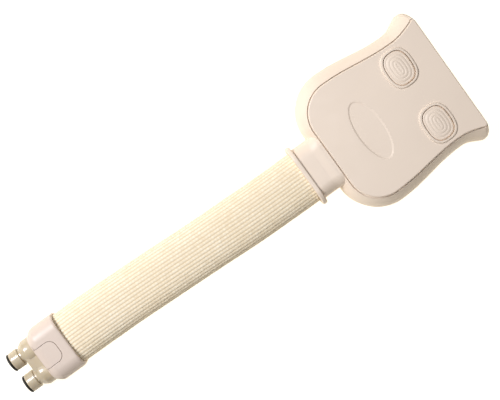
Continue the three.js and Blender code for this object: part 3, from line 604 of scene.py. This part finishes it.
def make_head_shells():
    neck_end = CHIN_X + FACE_INSET_CHIN + 4
    shell = union(head_blank(), neck_root(COLLAR_X + COLLAR_LENGTH + 0.04, neck_end))
    cut(shell, union(head_cavity(), neck_tube(2 * NECK_WALL, COLLAR_X, neck_end + 2)))
    cut(shell, *[
        turned("hole", [(100, 0), (100, SOCKET_RADIUS + FIT), (170, SOCKET_RADIUS + FIT), (170, 0)],
               side * SOCKET_Y, AXIS_Z)
        for _, side in SIDES
    ])
    cut(shell, plate_pocket(), plate_groove())
    cut(shell, *[button_prism(SLIDE + 0.6, 20, 30, side) for _, side in SIDES])
    shell.name = "head_top_shell"
    lower = split_at_seam(shell, "head_bottom_shell")
    for x, y in SCREW_PLACES:
        union(shell, rod_z("boss", x, y, AXIS_Z + SEAM / 2, SCREW_BOSS_Z[1], SCREW_BOSS_RADII[0]))
        union(lower, rod_z("boss", x, y, SCREW_BOSS_Z[0], AXIS_Z - SEAM / 2, SCREW_BOSS_RADII[1]))
        cut(shell, rod_z("pilot", x, y, 0, SCREW_PILOT_TOP_Z, SCREW_PILOT_RADIUS))
        cut(lower, rod_z("seat", x, y, -BEYOND, SCREW_HEAD_SEAT_Z, SCREW_HEAD_RADIUS))
        cut(lower, rod_z("hole", x, y, 0, SCREW_PILOT_TOP_Z, SCREW_HOLE_RADIUS))
    soften(shell, 0.1)
    soften(lower, 0.15)
    finish_piece(shell, PINK, "head", "shell_plastic", "head_upper_shell")
    finish_piece(lower, PINK, "head", "shell_plastic", "head_lower_shell")


def scoop():
    """The cutter of the shallow oval thumb recess, deepest on the side nearest the neck."""
    top = HEAD_TOP_Z + PLATE_RISE

    def oval(inset):
        return fat_oval(DIMPLE_SIZE[0] - 2 * inset, DIMPLE_SIZE[1] - 2 * inset, 2.0, 120, (DIMPLE_X, 0))

    rings = [at_height(oval(-0.3), top + 1.0)]
    for inset, share in ((-0.3, 0), (0, 0.05), (0.25, 0.25), (0.5, 0.6), (0.8, 0.9), (1.1, 1.0), (6, 1.0)):
        points = oval(inset)
        deepest = DIMPLE_DEPTH - DIMPLE_TILT * (points[:, 0] - DIMPLE_X)
        rings.append(at_height(points, top - deepest * share))
    return skin("scoop", rings)


def make_face_panel():
    low, high = HEAD_TOP_Z - PLATE_SEAT + 0.1, HEAD_TOP_Z + PLATE_RISE
    levels = [(low, head_outline(1, -0.1))]
    for a in np.radians(np.linspace(0, 90, 8)):
        inset = PLATE_EDGE * (1 - math.cos(a)) - 0.1
        levels.append((high - PLATE_EDGE * (1 - math.sin(a)), head_outline(1, inset)))
    panel = stack("face_panel", levels)
    for _, side in SIDES:
        root = button_outline(SLIDE + RIM_WIDTH + 0.5)
        rim = [(low + 0.2, root), (high, root)]
        for a in np.radians(np.linspace(0, 90, 7)):
            grow = SLIDE + RIM_WIDTH - 0.7 * (1 - math.cos(a))
            rim.append((high + 0.1 + (RIM_RISE - 0.1) * math.sin(a), button_outline(grow)))
        union(panel, shift(stack("rim", rim), BUTTON_X, side * SOCKET_Y))
        cut(panel, button_prism(SLIDE, 20, 32, side))
    cut(panel, scoop())
    soften(panel, 0.08)
    finish_piece(panel, PINK, "head", "shell_plastic", "face_plate")


def make_button(name, side):
    """A thumb button: its edge lies just below the rim, and concentric ridges climb to its middle."""
    y = side * SOCKET_Y
    edge_z = BUTTON_TOP_Z - BUTTON_EDGE_DROP
    levels = [
        (BUTTON_BASE_Z, button_outline(BUTTON_FLANGE)),
        (edge_z - 1.3, button_outline(BUTTON_FLANGE)),
        (edge_z - 1.1, button_outline(0)),
        (edge_z - BUTTON_EDGE, button_outline(0)),
    ]
    for a in np.radians(np.linspace(0, 90, 7)[1:-1]):
        outline = button_outline(-BUTTON_EDGE * (1 - math.cos(a)))
        levels.append((edge_z - BUTTON_EDGE * (1 - math.sin(a)), outline))
    for inward in np.arange(BUTTON_EDGE, BUTTON_RIDGED, RIDGE_PITCH / 15):
        furrow = RIDGE * (abs(math.cos(math.pi * (inward - BUTTON_EDGE) / RIDGE_PITCH)) ** 0.8 - 1)
        climb = BUTTON_CROWN * math.sin(inward / 8 * math.pi / 2)
        levels.append((edge_z + climb + furrow, button_outline(-inward)))
    button = shift(stack(f"thumb_button_{name}", levels), BUTTON_X, y)
    cut(button, box("slot", (LATCH_X - 1.4, y - 4.3, 20), (LATCH_X + 1.4, y + 4.3, BUTTON_TOP_Z - 1.5)))
    smooth(button, 50)
    finish_piece(button, PINK, f"button_{name}", "shell_plastic", f"button_{name}")


def make_collar():
    levels = []
    edge = [(0, 1.2), (0.12, 0.7), (0.35, 0.3), (0.7, 0)]
    far_edge = [(COLLAR_LENGTH - x, shrink) for x, shrink in reversed(edge)]
    for x, shrink in edge + far_edge:
        size = (COLLAR_SIZE[0] - shrink, COLLAR_SIZE[1] - shrink)
        levels.append((COLLAR_X + x, rounded_rect(*size, COLLAR_CORNER, (0, AXIS_Z))))
    collar = stack_x("neck_collar", levels)
    mouth = fat_oval(SLEEVE_SIZE[0] + 2 * FIT, SLEEVE_SIZE[1] + 2 * FIT, SLEEVE_SQUARENESS, 96, (0, AXIS_Z))
    cut(collar, stack_x("mouth", [(COLLAR_X - 1, mouth), (COLLAR_X + 2.9, mouth)]))
    cut(collar, neck_tube(2 * NECK_WALL, COLLAR_X - 1, COLLAR_X + 5))
    soften(collar, 0.1)
    finish_piece(collar, PINK, "head", "shell_plastic", "sleeve_collar")


# ---- sockets and valves ----
def make_socket(name, side):
    """A coupling's cup: mouth, ring groove, valve seat and chamber, and a barb behind for the hose."""
    mouth = SOCKET_MOUTH_X
    y = side * SOCKET_Y
    step, barb_end = VALVE_SEAT_X + 1.5, SOCKET_BACK_X - 13.0
    profile = [
        (mouth - 0.3, SOCKET_RADIUS), (mouth, SOCKET_RADIUS - 0.3), (mouth, SOCKET_BORE + 1.0),
        (mouth - 0.25, SOCKET_BORE + 0.65), (mouth - 1.2, SOCKET_BORE),
        (RING_GROOVE_X[1], SOCKET_BORE), (RING_GROOVE_X[1], RING_GROOVE_RADIUS),
        (RING_GROOVE_X[0], RING_GROOVE_RADIUS), (RING_GROOVE_X[0], SOCKET_BORE),
        (step + 0.3, SOCKET_BORE), (step, SOCKET_BORE - 0.3), (step, 3.7), (step - 0.3, 3.4),
        (VALVE_SEAT_X, 3.4), (VALVE_SEAT_X, VALVE_CHAMBER_RADIUS), (VALVE_CHAMBER_X, VALVE_CHAMBER_RADIUS),
        (VALVE_CHAMBER_X, WATERWAY_RADIUS), (barb_end, WATERWAY_RADIUS), (barb_end, BARB_END_RADIUS),
    ]
    for i in range(3):
        x = barb_end + 1.2 + BARB_PITCH * i
        profile += [(x, BARB_RADII[0]), (x + BARB_LENGTH, BARB_RADII[1])]
    profile += [(SOCKET_BACK_X, BARB_RADII[0]), (SOCKET_BACK_X, SOCKET_RADIUS)]
    socket = turned(f"socket_cup_{name}", profile, y, AXIS_Z)
    half_x, half_y = LATCH_GUIDE_HALF_SIZE
    down, up = LATCH_GUIDE_REACH
    guide_low = (LATCH_X - half_x, y - half_y, AXIS_Z - down)
    guide = box("guide", guide_low, (LATCH_X + half_x, y + half_y, AXIS_Z + up))
    core_radius = SOCKET_RADIUS - 0.3
    core = turned("core", [(130, 0), (130, core_radius), (150, core_radius), (150, 0)], y, AXIS_Z)
    union(socket, cut(guide, core))
    half_x, half_y = LATCH_SLOT_HALF_SIZE
    cut(socket, box("slot", (LATCH_X - half_x, y - half_y, 0), (LATCH_X + half_x, y + half_y, HEAD_TOP_Z)))
    cut(socket, rod_z("pocket", LATCH_X, y, 0, LATCH_POCKET_TOP_Z, LATCH_POCKET_RADIUS))
    soften(socket, 0.0)
    finish_piece(socket, WHITE, "head", "valve_plastic", f"socket_{name}")


def make_valve(name, x, direction, y, head, length, nose, reach, stem, body):
    """A shut-off valve with its head's front at x, a nose before it and a guide stem behind."""
    profile = [
        (-length - stem, 0), (-length - stem, 1.1), (-length - stem + 0.2, 1.3), (-length, 1.3),
        (-length, head - 0.15), (-length + 0.15, head), (-0.8, head), (0, nose), (reach - 0.7, nose),
        (reach - 0.3, nose - 0.2), (reach - 0.05, nose - 0.6), (reach, nose - 0.9), (reach, 0),
    ]
    valve = turned(name, [(x + direction * a, r) for a, r in profile], y, AXIS_Z, 40)
    smooth(valve)
    finish_piece(valve, WHITE, body, "valve_plastic", body)


# ---- hoses, lagging and sleeve ----
CURVE_START_X = COLLAR_X - 8
CURVE_END_X = CAP_BACK_X + 4
HOSE_HEAD_X = 124.9
HOSE_BEND_X = 111.9  # where the hoses start to draw together
HOSE_PARALLEL_X = CHIN_X + 4
SLEEVE_HEAD_X = COLLAR_X + SLEEVE_TUCK - 0.4
SLEEVE_PLUG_X = CAP_BACK_X - SLEEVE_TUCK


def ease(t):
    t = np.clip(t, 0, 1)
    return t * t * (3 - 2 * t)


def drift(x):
    """The sideways drift of the flexible length."""
    return PLUG_OFFSET_Y * ease((CURVE_START_X - x) / (CURVE_START_X - CURVE_END_X))


def tube(name, path, outer, inner, sides):
    """A tube with open ends along a level path of (x, y) points."""
    path = np.asarray(path, float)
    tangent = np.gradient(path, axis=0)
    tangent /= np.linalg.norm(tangent, axis=1)[:, None]
    normal = np.column_stack([-tangent[:, 1], tangent[:, 0]])
    a = np.linspace(0, 2 * math.pi, sides, endpoint=False)

    def ring(k, r):
        across = path[k] + normal[k] * (r * np.cos(a))[:, None]
        return at_height(across, AXIS_Z + r * np.sin(a))

    outside = [ring(k, outer) for k in range(len(path))]
    inside = [ring(k, inner) for k in reversed(range(len(path)))]
    return smooth(skin(name, outside + inside, wrap=True), 50)


def hose_path(side):
    drawing_in = np.linspace(HOSE_HEAD_X, HOSE_PARALLEL_X, 40, endpoint=False)
    x = np.concatenate([drawing_in, np.linspace(HOSE_PARALLEL_X, SPIGOT_BACK_X + 0.5, 90)])
    share = ease((HOSE_BEND_X - x) / (HOSE_BEND_X - HOSE_PARALLEL_X))
    apart = SOCKET_Y + (SPIGOT_Y - SOCKET_Y) * share
    return np.column_stack([x, side * apart + drift(x)])


def bendy(piece, material, slot, *nodes):
    piece.data.materials.append(material)
    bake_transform(piece)
    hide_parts(*nodes)
    return piece


def make_hose(name, side):
    hose = tube(f"water_hose_{name}", hose_path(side), HOSE_RADIUS - 0.12, HOSE_BORE, 28)
    bendy(hose, HOSE, "hose_rubber", f"hose_{name}")
    x = np.linspace(COLLAR_X - 2, CAP_BACK_X + 1, 70)
    path = np.column_stack([x, drift(x) + side * SPIGOT_Y])
    foam = tube(f"foam_lagging_{name}", path, LAGGING_RADIUS - 0.2, HOSE_RADIUS + 0.45, 32)
    bendy(foam, FOAM, "lagging_foam", f"hose_lagging_{name}")


RIBS = 42
STITCH = 2.1  # length of one stitch along a rib
AROUND = 7  # points across a rib
ALONG = 6  # points along a stitch
YARN = 0.36  # height of a rib
UNEVEN = 0.10  # spread of the stitches' sizes and places


def sleeve_section():
    """The sleeve's closed section, and how far round it each point lies."""
    ring = fat_oval(SLEEVE_SIZE[0] - YARN, SLEEVE_SIZE[1] - YARN, SLEEVE_SQUARENESS, 4000)
    steps = np.linalg.norm(np.diff(ring, axis=0, append=ring[:1]), axis=1)
    return np.vstack([ring, ring[:1]]), np.concatenate([[0], np.cumsum(steps)])


def make_sleeve():
    rng = np.random.default_rng(7)
    length = SLEEVE_HEAD_X - SLEEVE_PLUG_X
    stitches = round(length / STITCH)
    rows, count = stitches * ALONG + 1, RIBS * AROUND
    x = np.linspace(SLEEVE_HEAD_X, SLEEVE_PLUG_X, rows)
    closed, walked = sleeve_section()
    perimeter = walked[-1]
    wander = np.cumsum(rng.normal(0, 0.012, rows)) * 0.25
    wander -= np.linspace(wander[0], wander[-1], rows)
    rib = np.arange(count) // AROUND
    across = (np.arange(count) % AROUND) / AROUND
    size = rng.normal(1, UNEVEN, (stitches + 2, RIBS))
    phase = rng.normal(0, UNEVEN, RIBS) + 0.5 * (np.arange(RIBS) % 2)
    outer, inner, rib_shade_values = [], [], []
    crown = np.sin(math.pi * across) ** 0.55
    for k in range(rows):
        place = (np.arange(count) / count + 0.15 * wander[k] / RIBS) % 1.0
        y = np.interp(place * perimeter, walked, closed[:, 0])
        z = np.interp(place * perimeter, walked, closed[:, 1])
        stitch = k / ALONG + phase[rib]
        bead = 0.5 - 0.5 * np.cos(2 * math.pi * stitch + 1.2 * (across - 0.5))
        tall = size[np.clip(stitch.astype(int), 0, stitches + 1), rib]
        height = crown * (0.66 + 0.34 * bead) * tall
        out = np.column_stack([y / SLEEVE_SIZE[0] ** 2, z / SLEEVE_SIZE[1] ** 2])
        out /= np.linalg.norm(out, axis=1)[:, None]
        swell = 0.12 * math.sin(x[k] / 23.0) + 0.08 * math.sin(x[k] / 9.1 + 1)
        push = YARN * (np.clip(height, 0, 1.15) - 0.65) + swell - 0.15
        centred = np.column_stack([y + drift(x[k]), z + AXIS_Z])
        outer.append(at_x(centred + out * push[:, None], x[k]))
        # rib height for the painted shade: least shade on the crowns, most in the valleys
        rib_shade_values.append(np.clip(height, 0, 1))
    lining = closed[np.searchsorted(walked, np.arange(count) / count * perimeter)]
    lining = lining * [(size_across - 2 * SLEEVE_WALL) / size_across for size_across in SLEEVE_SIZE]
    for k in reversed(range(0, rows, ALONG * 4)):
        inner.append(at_x(lining + (drift(x[k]), AXIS_Z), x[k]))
    sleeve = skin("knitted_sleeve", outer + inner, wrap=True)
    # the lining inside gets a middle amount of the painted shade
    values = np.concatenate(rib_shade_values + [np.full(count * len(inner), 0.4)]).astype(np.float32)
    sleeve.data.attributes.new("rib_height_for_painted_shade", "FLOAT", "POINT").data.foreach_set("value", values)
    sleeve.data.shade_smooth()
    bendy(sleeve, KNIT, "sleeve_knit", "sleeve_head_half", "sleeve_plug_half")


# ---- plug end ----
SPIGOT_FLANGE_X = -136.0
SPIGOT_BACK_X = -133.0
PIN_X = CAP_FRONT_X + 2.4
PIN_Z = AXIS_Z + CAP_SIZE[1] / 2 - 3.0
EAR_FROM = TAB_SIZE[1] / 2 + 0.6
EAR_WIDTH = 2.2
KEY_HALF_WIDTH = 5.9
KEY_HEIGHT = 6.4
FLANGE_HEIGHT = 19.6
FLANGE_CORNER = 6.5
TIP_COLLAR_LENGTH = 7.8
WAIST_RADIUS = 4.9
SHELF_HALF_WIDTH = 2.8
SHELF_LENGTH = 5.6
SHELF_Z = (AXIS_Z + 4.2, AXIS_Z + 6.0)
PIN_HOLE_RADIUS = PIN_RADIUS + 0.12
TAB_GAP = 0.22
SPIGOT_BORE_RADIUS = 2.0
SPIGOT_CHAMBER_X = (-156.0, -138.2)
SPIGOT_CHAMBER_RADIUS = 4.1
PLUG_AT = (PLUG_OFFSET_Y, AXIS_Z)


def cap_blank(name):
    front = (CAP_SIZE[0] - 2 * CAP_CHAMFER[1], CAP_SIZE[1] - 3.6)
    levels = []
    for share in np.linspace(0, 1, 9):
        bulge = math.sin(share * math.pi / 2) ** 1.15
        width = front[0] + (CAP_SIZE[0] - front[0]) * bulge
        height = front[1] + (CAP_SIZE[1] - front[1]) * bulge
        section = rounded_rect(width, height, CAP_CORNER - 1.6 + 1.6 * bulge, PLUG_AT)
        levels.append((CAP_FRONT_X + CAP_CHAMFER[0] * share, section))
    for x, shrink in ((1.6, 0), (1.0, 0.16), (0.55, 0.5), (0.2, 1.1), (0, 1.9)):
        size = (CAP_SIZE[0] - shrink, CAP_SIZE[1] - shrink)
        levels.append((CAP_BACK_X - x, rounded_rect(*size, CAP_CORNER - shrink / 2, PLUG_AT)))
    return stack_x(name, levels)


def tab_prism(grow, z0, z1):
    size = (2 * TAB_SIZE[0] + 2 * grow, TAB_SIZE[1] + 2 * grow)
    outline = rounded_rect(*size, TAB_CORNER + grow, (CAP_FRONT_X, PLUG_OFFSET_Y))
    return stack("tab", [(z0, outline), (z1, outline)])


def make_cap():
    cap = cap_blank("end_cap_top")
    inner_size = [size - 2 * CAP_WALL for size in CAP_SIZE]
    inner = rounded_rect(*inner_size, CAP_CORNER - CAP_WALL, PLUG_AT)
    mouth = fat_oval(SLEEVE_SIZE[0] + 0.2, SLEEVE_SIZE[1] + 0.2, SLEEVE_SQUARENESS, 96, PLUG_AT)
    cut(cap, stack_x("inside", [(CAP_FRONT_X + 2.2, inner), (CAP_BACK_X + 1, inner)]))
    cut(cap, stack_x("mouth", [(SLEEVE_PLUG_X - FIT, mouth), (CAP_BACK_X + 1, mouth)]))
    for _, side in SIDES:
        y0, y1 = sorted((PLUG_OFFSET_Y + side * EAR_FROM, PLUG_OFFSET_Y + side * (EAR_FROM + EAR_WIDTH)))
        union(cap, box("ear", (CAP_FRONT_X + 0.8, y0, PIN_Z - 2.2), (PIN_X + 2.2, y1, PIN_Z + 1.6)))
    hole = BOSS_RADIUS + FIT
    outside, hole_end, window_end = CAP_FRONT_X - 6.5, CAP_FRONT_X + 4.0, CAP_FRONT_X + 2.6
    cut(cap, tab_prism(TAB_GAP, AXIS_Z + KEY_HEIGHT, 40))
    cut(cap, *[
        turned("hole", [(outside, 0), (outside, hole), (hole_end, hole), (hole_end, 0)],
               PLUG_OFFSET_Y + side * SPIGOT_Y, AXIS_Z)
        for _, side in SIDES
    ])
    half, tall = KEY_HALF_WIDTH + FIT, KEY_HEIGHT + FIT
    window_low = (outside, PLUG_OFFSET_Y - half, AXIS_Z - tall)
    cut(cap, box("window", window_low, (window_end, PLUG_OFFSET_Y + half, AXIS_Z + tall)))
    reach = EAR_FROM + EAR_WIDTH + 1
    cut(cap, rod_y("pin", PIN_X, PIN_Z, PLUG_OFFSET_Y - reach, PLUG_OFFSET_Y + reach, PIN_HOLE_RADIUS))
    lower = split_at_seam(cap, "end_cap_bottom")
    soften(cap, 0.2)
    soften(lower, 0.2)
    finish_piece(cap, PINK_CAP, "plug", "shell_plastic", "end_cap_upper")
    finish_piece(lower, PINK_CAP, "plug", "shell_plastic", "end_cap_lower")


def make_tab():
    top = AXIS_Z + CAP_SIZE[1] / 2
    tab = keep(cap_blank("press_tab"), tab_prism(0, top - TAB_THICKNESS, 40))
    reach = TAB_SIZE[1] / 2 - 0.4
    union(tab, rod_y("barrel", PIN_X, PIN_Z, PLUG_OFFSET_Y - reach, PLUG_OFFSET_Y + reach, 1.9))
    cut(tab, rod_y("bore", PIN_X, PIN_Z, PLUG_OFFSET_Y - 12, PLUG_OFFSET_Y + 12, PIN_HOLE_RADIUS))
    soften(tab, 0.22)
    finish_piece(tab, PINK_CAP, "release_tab", "shell_plastic", "release_tab")


def make_spigots():
    """The two spigots on their flange, with the key between them and the shelf for the tab's spring."""
    flange = rounded_rect(CAP_SIZE[0] - 2 * CAP_WALL - 1.0, FLANGE_HEIGHT, FLANGE_CORNER, PLUG_AT)
    block = stack_x("spigot_moulding", [(SPIGOT_FLANGE_X, flange), (SPIGOT_BACK_X, flange)])
    collar_end = TIP_X + TIP_COLLAR_LENGTH
    tip = TIP_X + SEAL_LENGTH + FIT
    shaft = [
        (TIP_X + 0.6, 0), (TIP_X + 0.6, 2.9), (TIP_X + 0.8, 3.1), (tip, 3.1), (tip, TIP_RADIUS - 0.35),
        (tip + 0.15, TIP_RADIUS - 0.1), (tip + 0.5, TIP_RADIUS), (collar_end - 0.4, TIP_RADIUS),
        (collar_end - 0.1, TIP_RADIUS - 0.15), (collar_end, TIP_RADIUS - 0.45), (collar_end, 5.1),
        (collar_end + 0.2, WAIST_RADIUS), (BOSS_END_X, WAIST_RADIUS), (BOSS_END_X, 5.7),
        (BOSS_END_X + 0.25, 6.1),
        (BOSS_END_X + 2.8, BOSS_RADIUS - 0.3), (BOSS_END_X + 3.1, BOSS_RADIUS - 0.06),
        (BOSS_END_X + 3.5, BOSS_RADIUS),
        (SPIGOT_FLANGE_X + 1, BOSS_RADIUS), (SPIGOT_FLANGE_X + 1, BARB_RADII[0]),
        (SPIGOT_BACK_X + 0.2, BARB_RADII[0]),
    ]
    for i in range(3):
        x = SPIGOT_BACK_X + 1.4 + BARB_PITCH * i
        shaft += [(x, BARB_RADII[1]), (x + BARB_LENGTH, BARB_RADII[0])]
    shaft += [(-120, BARB_END_RADIUS), (-120, 0)]
    for _, side in SIDES:
        union(block, turned("spigot", shaft, PLUG_OFFSET_Y + side * SPIGOT_Y, AXIS_Z))
    key_low = (BOSS_END_X + 0.6, PLUG_OFFSET_Y - KEY_HALF_WIDTH, AXIS_Z - KEY_HEIGHT + 3)
    key = box("key", key_low, (SPIGOT_BACK_X - 0.5, PLUG_OFFSET_Y + KEY_HALF_WIDTH, AXIS_Z + KEY_HEIGHT))
    union(block, soften(key, 0.5, segments=3))
    shelf_low = (SPIGOT_BACK_X - 1, PLUG_OFFSET_Y - SHELF_HALF_WIDTH, SHELF_Z[0])
    shelf_high = (SPIGOT_BACK_X + SHELF_LENGTH, PLUG_OFFSET_Y + SHELF_HALF_WIDTH, SHELF_Z[1])
    union(block, box("shelf", shelf_low, shelf_high))
    bore = [(TIP_X, 0), (TIP_X, SPIGOT_BORE_RADIUS), (0, SPIGOT_BORE_RADIUS), (0, 0)]
    front, back = SPIGOT_CHAMBER_X
    chamber = [(front, 0), (front, SPIGOT_CHAMBER_RADIUS), (back, SPIGOT_CHAMBER_RADIUS), (back, 0)]
    for _, side in SIDES:
        y = PLUG_OFFSET_Y + side * SPIGOT_Y
        cut(block, turned("bore", bore, y, AXIS_Z, 40), turned("chamber", chamber, y, AXIS_Z, 40))
    soften(block, 0.0)
    finish_piece(block, CLOUDY, "plug", "spigot_plastic", "spigot_block")


def make_tip_ring(name, side):
    middle = SEAL_LENGTH / 2
    profile = [
        (0.02, 4.2), (0.2, 3.35), (SEAL_LENGTH - 0.1, 3.3), (SEAL_LENGTH, 3.5),
        (SEAL_LENGTH, TIP_RADIUS - 0.9),
    ]
    for a in np.radians(np.linspace(10, 165, 11)):
        profile.append((middle + middle * math.cos(a), TIP_RADIUS - 0.85 + 0.8 * math.sin(a)))
    y = PLUG_OFFSET_Y + side * SPIGOT_Y
    ring = turned(f"tip_ring_{name}", [(TIP_X + x, r) for x, r in profile], y, AXIS_Z)
    smooth(ring, 60)
    finish_piece(ring, BLACK, "plug", "seal_rubber", f"tip_seal_{name}")


# ---- springs ----
def make_spring(name, base, axis, length, radii, wire, turns):
    """A coil with closed ends, from its fixed end at base along axis."""
    side_one = Vector((0, 1, 0)) if axis.x else Vector((1, 0, 0))
    side_two = axis.cross(side_one)
    rings = []
    for share in np.linspace(0, 1, int(turns * 24)):
        climb = min(max((share * (turns + 1) - 0.5) / turns, 0), 1)
        turn = 2 * math.pi * (turns + 1) * share
        outward = math.cos(turn) * side_one + math.sin(turn) * side_two
        radius = radii[0] + (radii[1] - radii[0]) * climb
        centre = Vector(base) + outward * radius + axis * (wire / 2 + climb * (length - wire))
        rings.append([
            centre + (outward * math.cos(a) + axis * math.sin(a)) * wire / 2
            for a in np.radians(range(0, 360, 45))
        ])
    spring = skin(f"coil_{name}", rings)
    smooth(spring, 60)
    spring.data.materials.append(STEEL)
    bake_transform(spring)
    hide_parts(name)


def make_springs():
    up, ahead = Vector((0, 0, 1)), Vector((1, 0, 0))
    make_spring(
        "release_tab_spring", (SPIGOT_BACK_X + 2.1, PLUG_OFFSET_Y, SHELF_Z[1] + 0.15), up,
        length=5.1, radii=(1.68, 1.68), wire=0.45, turns=3.5,
    )
    for name, side in SIDES:
        make_spring(
            f"latch_spring_{name}", (LATCH_X, side * SOCKET_Y, HEAD_WALL + 0.2), up,
            length=4.45, radii=(2.5, 2.5), wire=0.45, turns=3.5,
        )
        make_spring(
            f"socket_valve_spring_{name}", (VALVE_CHAMBER_X + 0.2, side * SOCKET_Y, AXIS_Z), ahead,
            length=3.45, radii=(3.6, 2.3), wire=0.5, turns=1.5,
        )
        make_spring(
            f"spigot_valve_spring_{name}",
            (SPIGOT_CHAMBER_X[1] - 0.2, PLUG_OFFSET_Y + side * SPIGOT_Y, AXIS_Z), -ahead,
            length=15.0, radii=(2.9, 2.9), wire=0.5, turns=6,
        )


# ---- carried-over CAD nodes ----
def dress_cad():
    looks = {"seal_rubber": BLACK, "steel": STEEL, "valve_plastic": WHITE, "shell_plastic": PINK}
    for part in frame["record"]["subparts"]:
        node = frame["nodes"][part["node"]]
        if node.hide_render:
            continue
        for i in range(len(node.material_slots)):
            node.material_slots[i].material = looks[part["material_slot"]]


# ---- studio ----
FLOOR_HALF = 3000.0
FLOOR_Z = -0.1
LAMP_COLOUR = (0.97, 0.99, 1.07)


def area_light(name, location, size, power):
    data = bpy.data.lights.new(name, "AREA")
    data.size = size
    data.energy = power
    data.color = LAMP_COLOUR
    light = bpy.data.objects.new(name, data)
    bpy.context.scene.collection.objects.link(light)
    light.location = location
    light.rotation_euler = (Vector((0, 0, 0)) - Vector(location)).to_track_quat("-Z", "Y").to_euler()


def make_studio():
    corners = [(x * FLOOR_HALF, y * FLOOR_HALF, FLOOR_Z) for x, y in ((-1, -1), (1, -1), (1, 1), (-1, 1))]
    floor = new_object("floor", corners, [(0, 1, 2, 3)])
    material, _, shader = node_material("pale_floor")
    shader.inputs["Base Color"].default_value = (0.4, 0.4, 0.4, 1)
    shader.inputs["Roughness"].default_value = 0.9
    shader.inputs["Specular IOR Level"].default_value = 0.0
    shader.inputs["Emission Color"].default_value = (1, 0.92, 0.76, 1)
    shader.inputs["Emission Strength"].default_value = 1.12
    floor.data.materials.append(material)
    world = bpy.data.worlds.new("studio")
    world.use_nodes = True
    world.node_tree.nodes["Background"].inputs["Color"].default_value = (1, 1, 1, 1)
    world.node_tree.nodes["Background"].inputs["Strength"].default_value = 0.03
    bpy.context.scene.world = world
    bpy.context.scene.view_settings.view_transform = "Standard"
    area_light("key", (-0.46, 0.62, 0.88), size=0.4, power=13.5)
    area_light("fill", (0.0, 0.1, 1.5), size=0.6, power=6.7)


make_head_shells()
make_face_panel()
make_collar()
for side_name, side_sign in SIDES:
    make_button(side_name, side_sign)
    make_socket(side_name, side_sign)
    make_valve(
        f"socket_poppet_{side_name}", VALVE_SEAT_X - 0.15, 1, side_sign * SOCKET_Y,
        head=4.5, length=2.4, nose=3.0, reach=4.2, stem=3.6, body=f"socket_valve_{side_name}",
    )
    make_hose(side_name, side_sign)
    make_tip_ring(side_name, side_sign)
    make_valve(
        f"spigot_poppet_{side_name}", SPIGOT_CHAMBER_X[0] + 0.15, -1, PLUG_OFFSET_Y + side_sign * SPIGOT_Y,
        head=3.7, length=2.2, nose=1.7, reach=5.4, stem=5.0, body=f"spigot_valve_{side_name}",
    )
make_sleeve()
make_cap()
make_tab()
make_spigots()
make_springs()
dress_cad()
make_studio()
